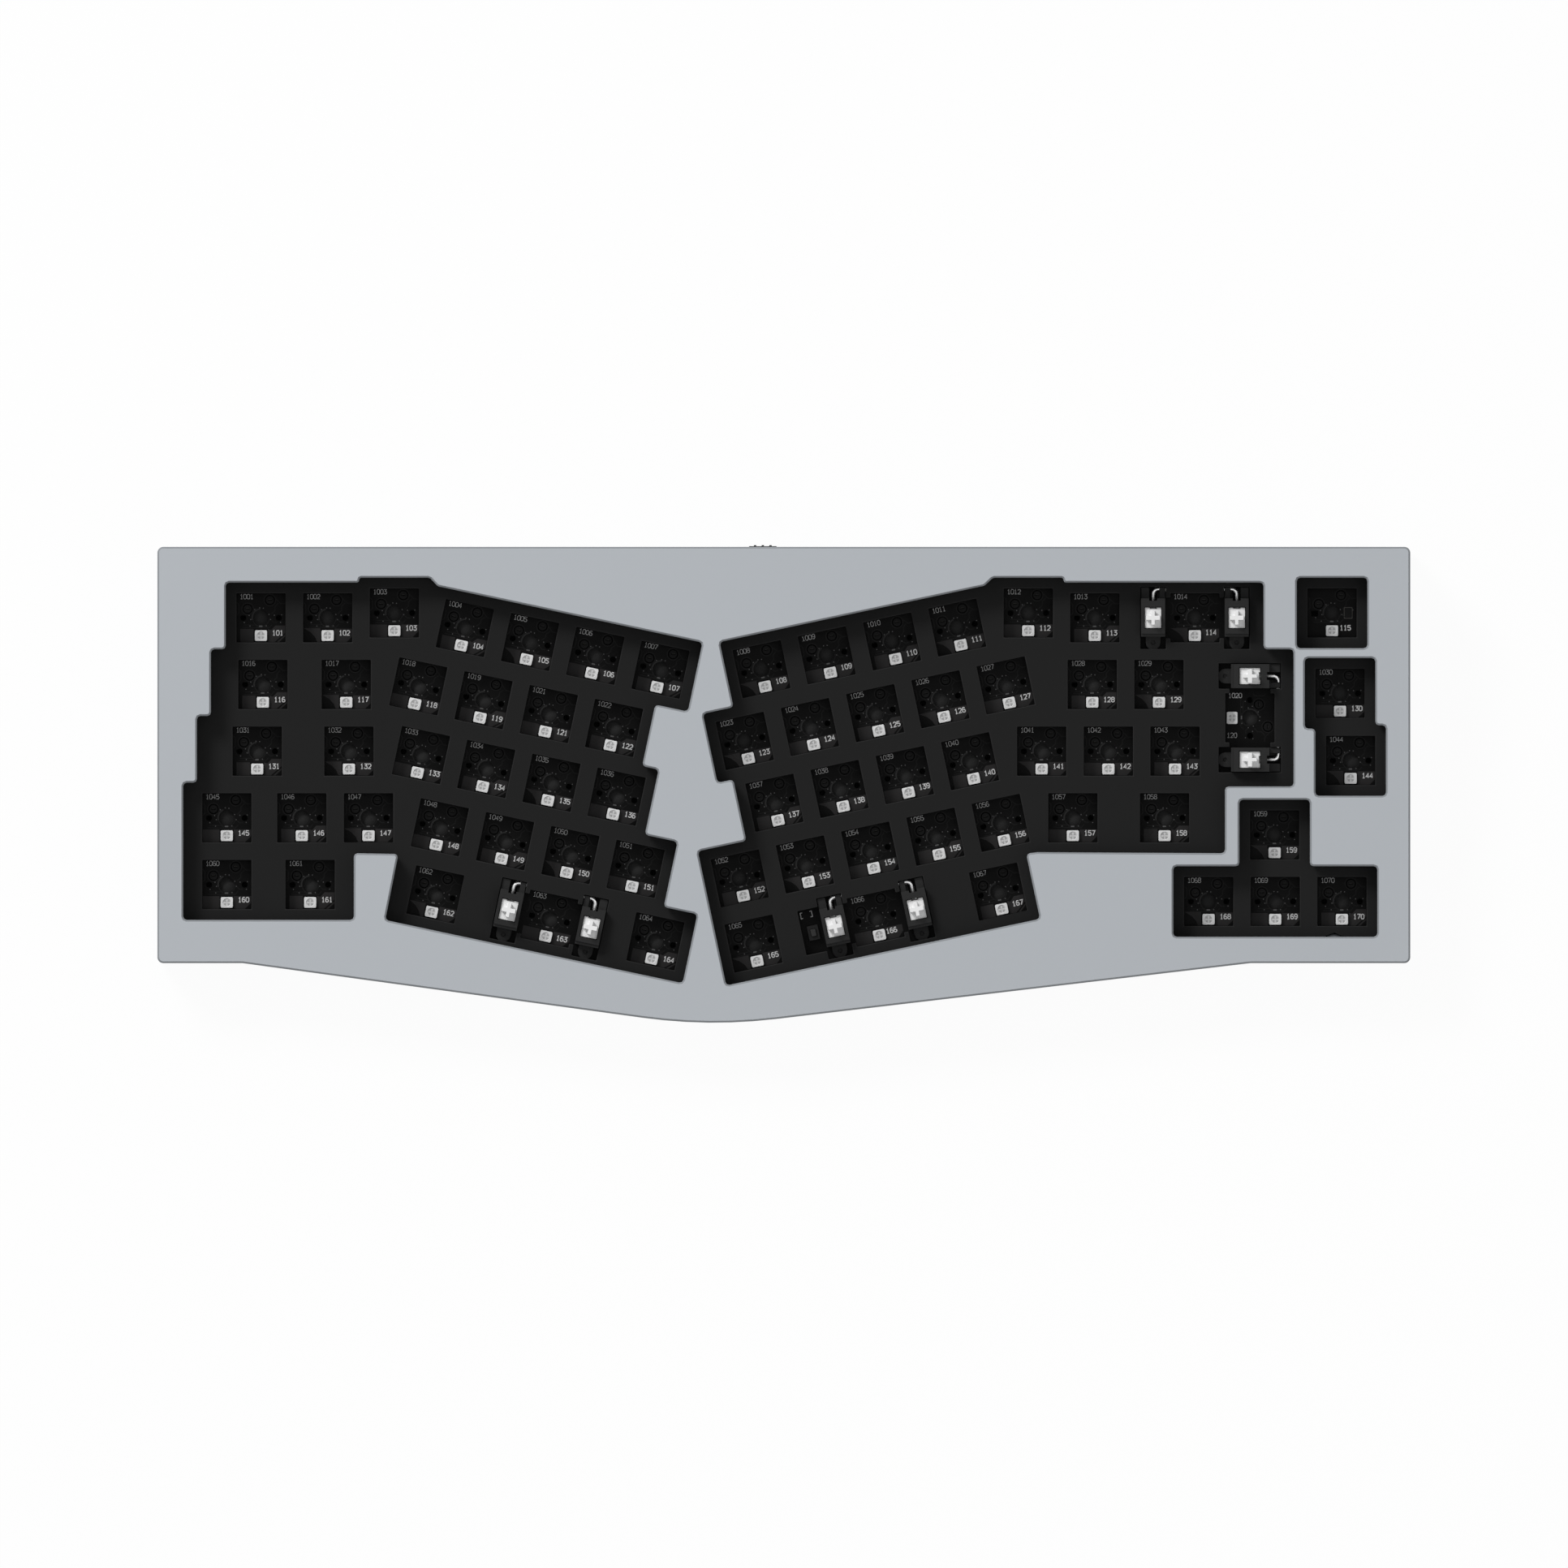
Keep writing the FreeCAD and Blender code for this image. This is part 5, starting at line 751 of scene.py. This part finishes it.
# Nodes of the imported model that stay

def soften(name, slot, width, segments=2, clamped=True, edge=""):
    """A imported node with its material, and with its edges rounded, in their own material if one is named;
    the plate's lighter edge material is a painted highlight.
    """
    made = nodes[name]
    made.data.materials.clear()
    made.data.materials.append(finish[slot])
    if edge:
        made.data.materials.append(finish[edge])
    weld(made)
    flat = made.modifiers.new("flat", "DECIMATE")
    flat.decimate_type = "DISSOLVE"
    flat.angle_limit = math.radians(0.5)
    round_edges = made.modifiers.new("round_edges", "BEVEL")
    round_edges.width = width * MM
    round_edges.segments = segments
    round_edges.limit_method = "ANGLE"
    round_edges.angle_limit = math.radians(20)
    round_edges.harden_normals = True
    round_edges.use_clamp_overlap = clamped
    if edge:
        round_edges.material = 1


PLAIN_NODES = (
    ("plate_foam", "foam", 0.15),
    ("case_foam", "foam", 0.2),
    ("upper_gaskets", "gasket", 0.2),
    ("lower_gaskets", "gasket", 0.2),
    ("hot_swap_sockets", "socket", 0.15),
    ("controller_chip", "chip", 0.08),
    ("led_driver_chips", "chip", 0.08),
    ("plate_screws", "screw", 0.12),
    ("plate_spacers", "spacer", 0.08),
    ("stabiliser_screws", "screw", 0.12),
    ("usb_tongue", "inlet_tongue", 0.05),
    ("mode_switch_body", "switch_body", 0.08),
    ("mode_switch_knob", "knob", 0.1, 3),
    ("reset_switch_body", "switch_body", 0.08),
    ("reset_button", "reset_button", 0.12, 3),
)


def dress_nodes():
    """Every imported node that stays, with the width of its rounded edges and, for some, their steps."""
    soften("top_case", "case", 0.12)
    soften("bottom_case", "case", 0.15)
    # The plate's rounded edges get the lighter material, a painted highlight
    soften("switch_plate", "plate", 0.25, clamped=False, edge="plate_edge_highlight")
    for row in PLAIN_NODES:
        soften(*row)
    for name in wide_keys:
        for side in ("left", "right"):
            soften(f"{name}_{side}_housing", "housing", 0.12)
            soften(f"{name}_{side}_stem", "stem", 0.1, 3)


# Studio

def make_floor():
    """A plain pale floor that shows as white, with the object's soft shadow on it."""
    floor = bpy.data.materials.new("floor")
    floor.use_nodes = True
    tree = floor.node_tree
    tree.nodes.clear()
    output = tree.nodes.new("ShaderNodeOutputMaterial")
    mix = tree.nodes.new("ShaderNodeMixShader")
    lit = tree.nodes.new("ShaderNodeBsdfDiffuse")
    lit.inputs["Color"].default_value = (0.86, 0.86, 0.86, 1)
    glow = tree.nodes.new("ShaderNodeEmission")
    glow.inputs["Strength"].default_value = 1.0
    share = tree.nodes.new("ShaderNodeMath")
    share.operation = "MULTIPLY"
    share.inputs[1].default_value = 0.95
    tree.links.new(seen_rays(tree), share.inputs[0])
    tree.links.new(share.outputs[0], mix.inputs[0])
    tree.links.new(lit.outputs[0], mix.inputs[1])
    tree.links.new(glow.outputs[0], mix.inputs[2])
    tree.links.new(mix.outputs[0], output.inputs["Surface"])
    mesh = bpy.data.meshes.new("floor")
    half = 6.0
    corners = [(-half, -half, 0), (half, -half, 0), (half, half, 0), (-half, half, 0)]
    mesh.from_pydata(corners, [], [(0, 1, 2, 3)])
    mesh.materials.append(floor)
    made = bpy.data.objects.new("floor", mesh)
    scene.collection.objects.link(made)


def seen_rays(tree):
    """One for rays from the camera, or by way of a glossy or clear surface, and nought for others."""
    path = tree.nodes.new("ShaderNodeLightPath")
    both = tree.nodes.new("ShaderNodeMath")
    both.operation = "MAXIMUM"
    tree.links.new(path.outputs["Is Camera Ray"], both.inputs[0])
    tree.links.new(path.outputs["Is Glossy Ray"], both.inputs[1])
    last = tree.nodes.new("ShaderNodeMath")
    last.operation = "MAXIMUM"
    tree.links.new(both.outputs[0], last.inputs[0])
    tree.links.new(path.outputs["Is Transmission Ray"], last.inputs[1])
    return last.outputs[0]


def light_scene():
    """An even pale surround, a large soft lamp at the back left, and a weaker one at the front right."""
    world = bpy.data.worlds.new("studio")
    world.use_nodes = True
    tree = world.node_tree
    surround = tree.nodes["Background"]
    surround.inputs["Color"].default_value = (1, 1, 1, 1)
    level = tree.nodes.new("ShaderNodeMapRange")
    level.inputs["To Min"].default_value = 0.44
    level.inputs["To Max"].default_value = 1.0
    tree.links.new(seen_rays(tree), level.inputs["Value"])
    tree.links.new(level.outputs["Result"], surround.inputs["Strength"])
    scene.world = world
    for name, place, size, energy in (("key_lamp", (-1.5, 1.7, 2.1), 1.1, 62.0),
                                      ("fill_lamp", (0.9, -0.9, 1.3), 1.2, 2.6)):
        lamp = bpy.data.lights.new(name, "AREA")
        lamp.shape = "DISK"
        lamp.size = size
        lamp.energy = energy
        made = bpy.data.objects.new(name, lamp)
        made.location = place
        made.rotation_euler = Vector(place).to_track_quat("Z", "Y").to_euler()
        scene.collection.objects.link(made)


def make_camera():
    """The photograph's view: square to the plate, with no perspective."""
    camera = bpy.data.cameras.new("camera")
    camera.type = "ORTHO"
    camera.ortho_scale = 0.4478
    camera.clip_start = 0.01
    camera.clip_end = 20.0
    made = bpy.data.objects.new("camera", camera)
    aim_x, aim_y, distance = 0.05, 0.17, 1000.0
    made.location = (SEAT @ Vector((aim_x, aim_y, distance))) * MM
    made.rotation_euler = TILT.to_euler()
    scene.collection.objects.link(made)
    scene.camera = made


make_camera()
light_scene()
make_floor()
dress_nodes()
make_board()
make_sockets()
make_foam_rises()
make_lamps()
make_wires()
make_boss_collars()
make_case_screws()
make_inlet()
make_feet()

scene.view_settings.view_transform = "Standard"
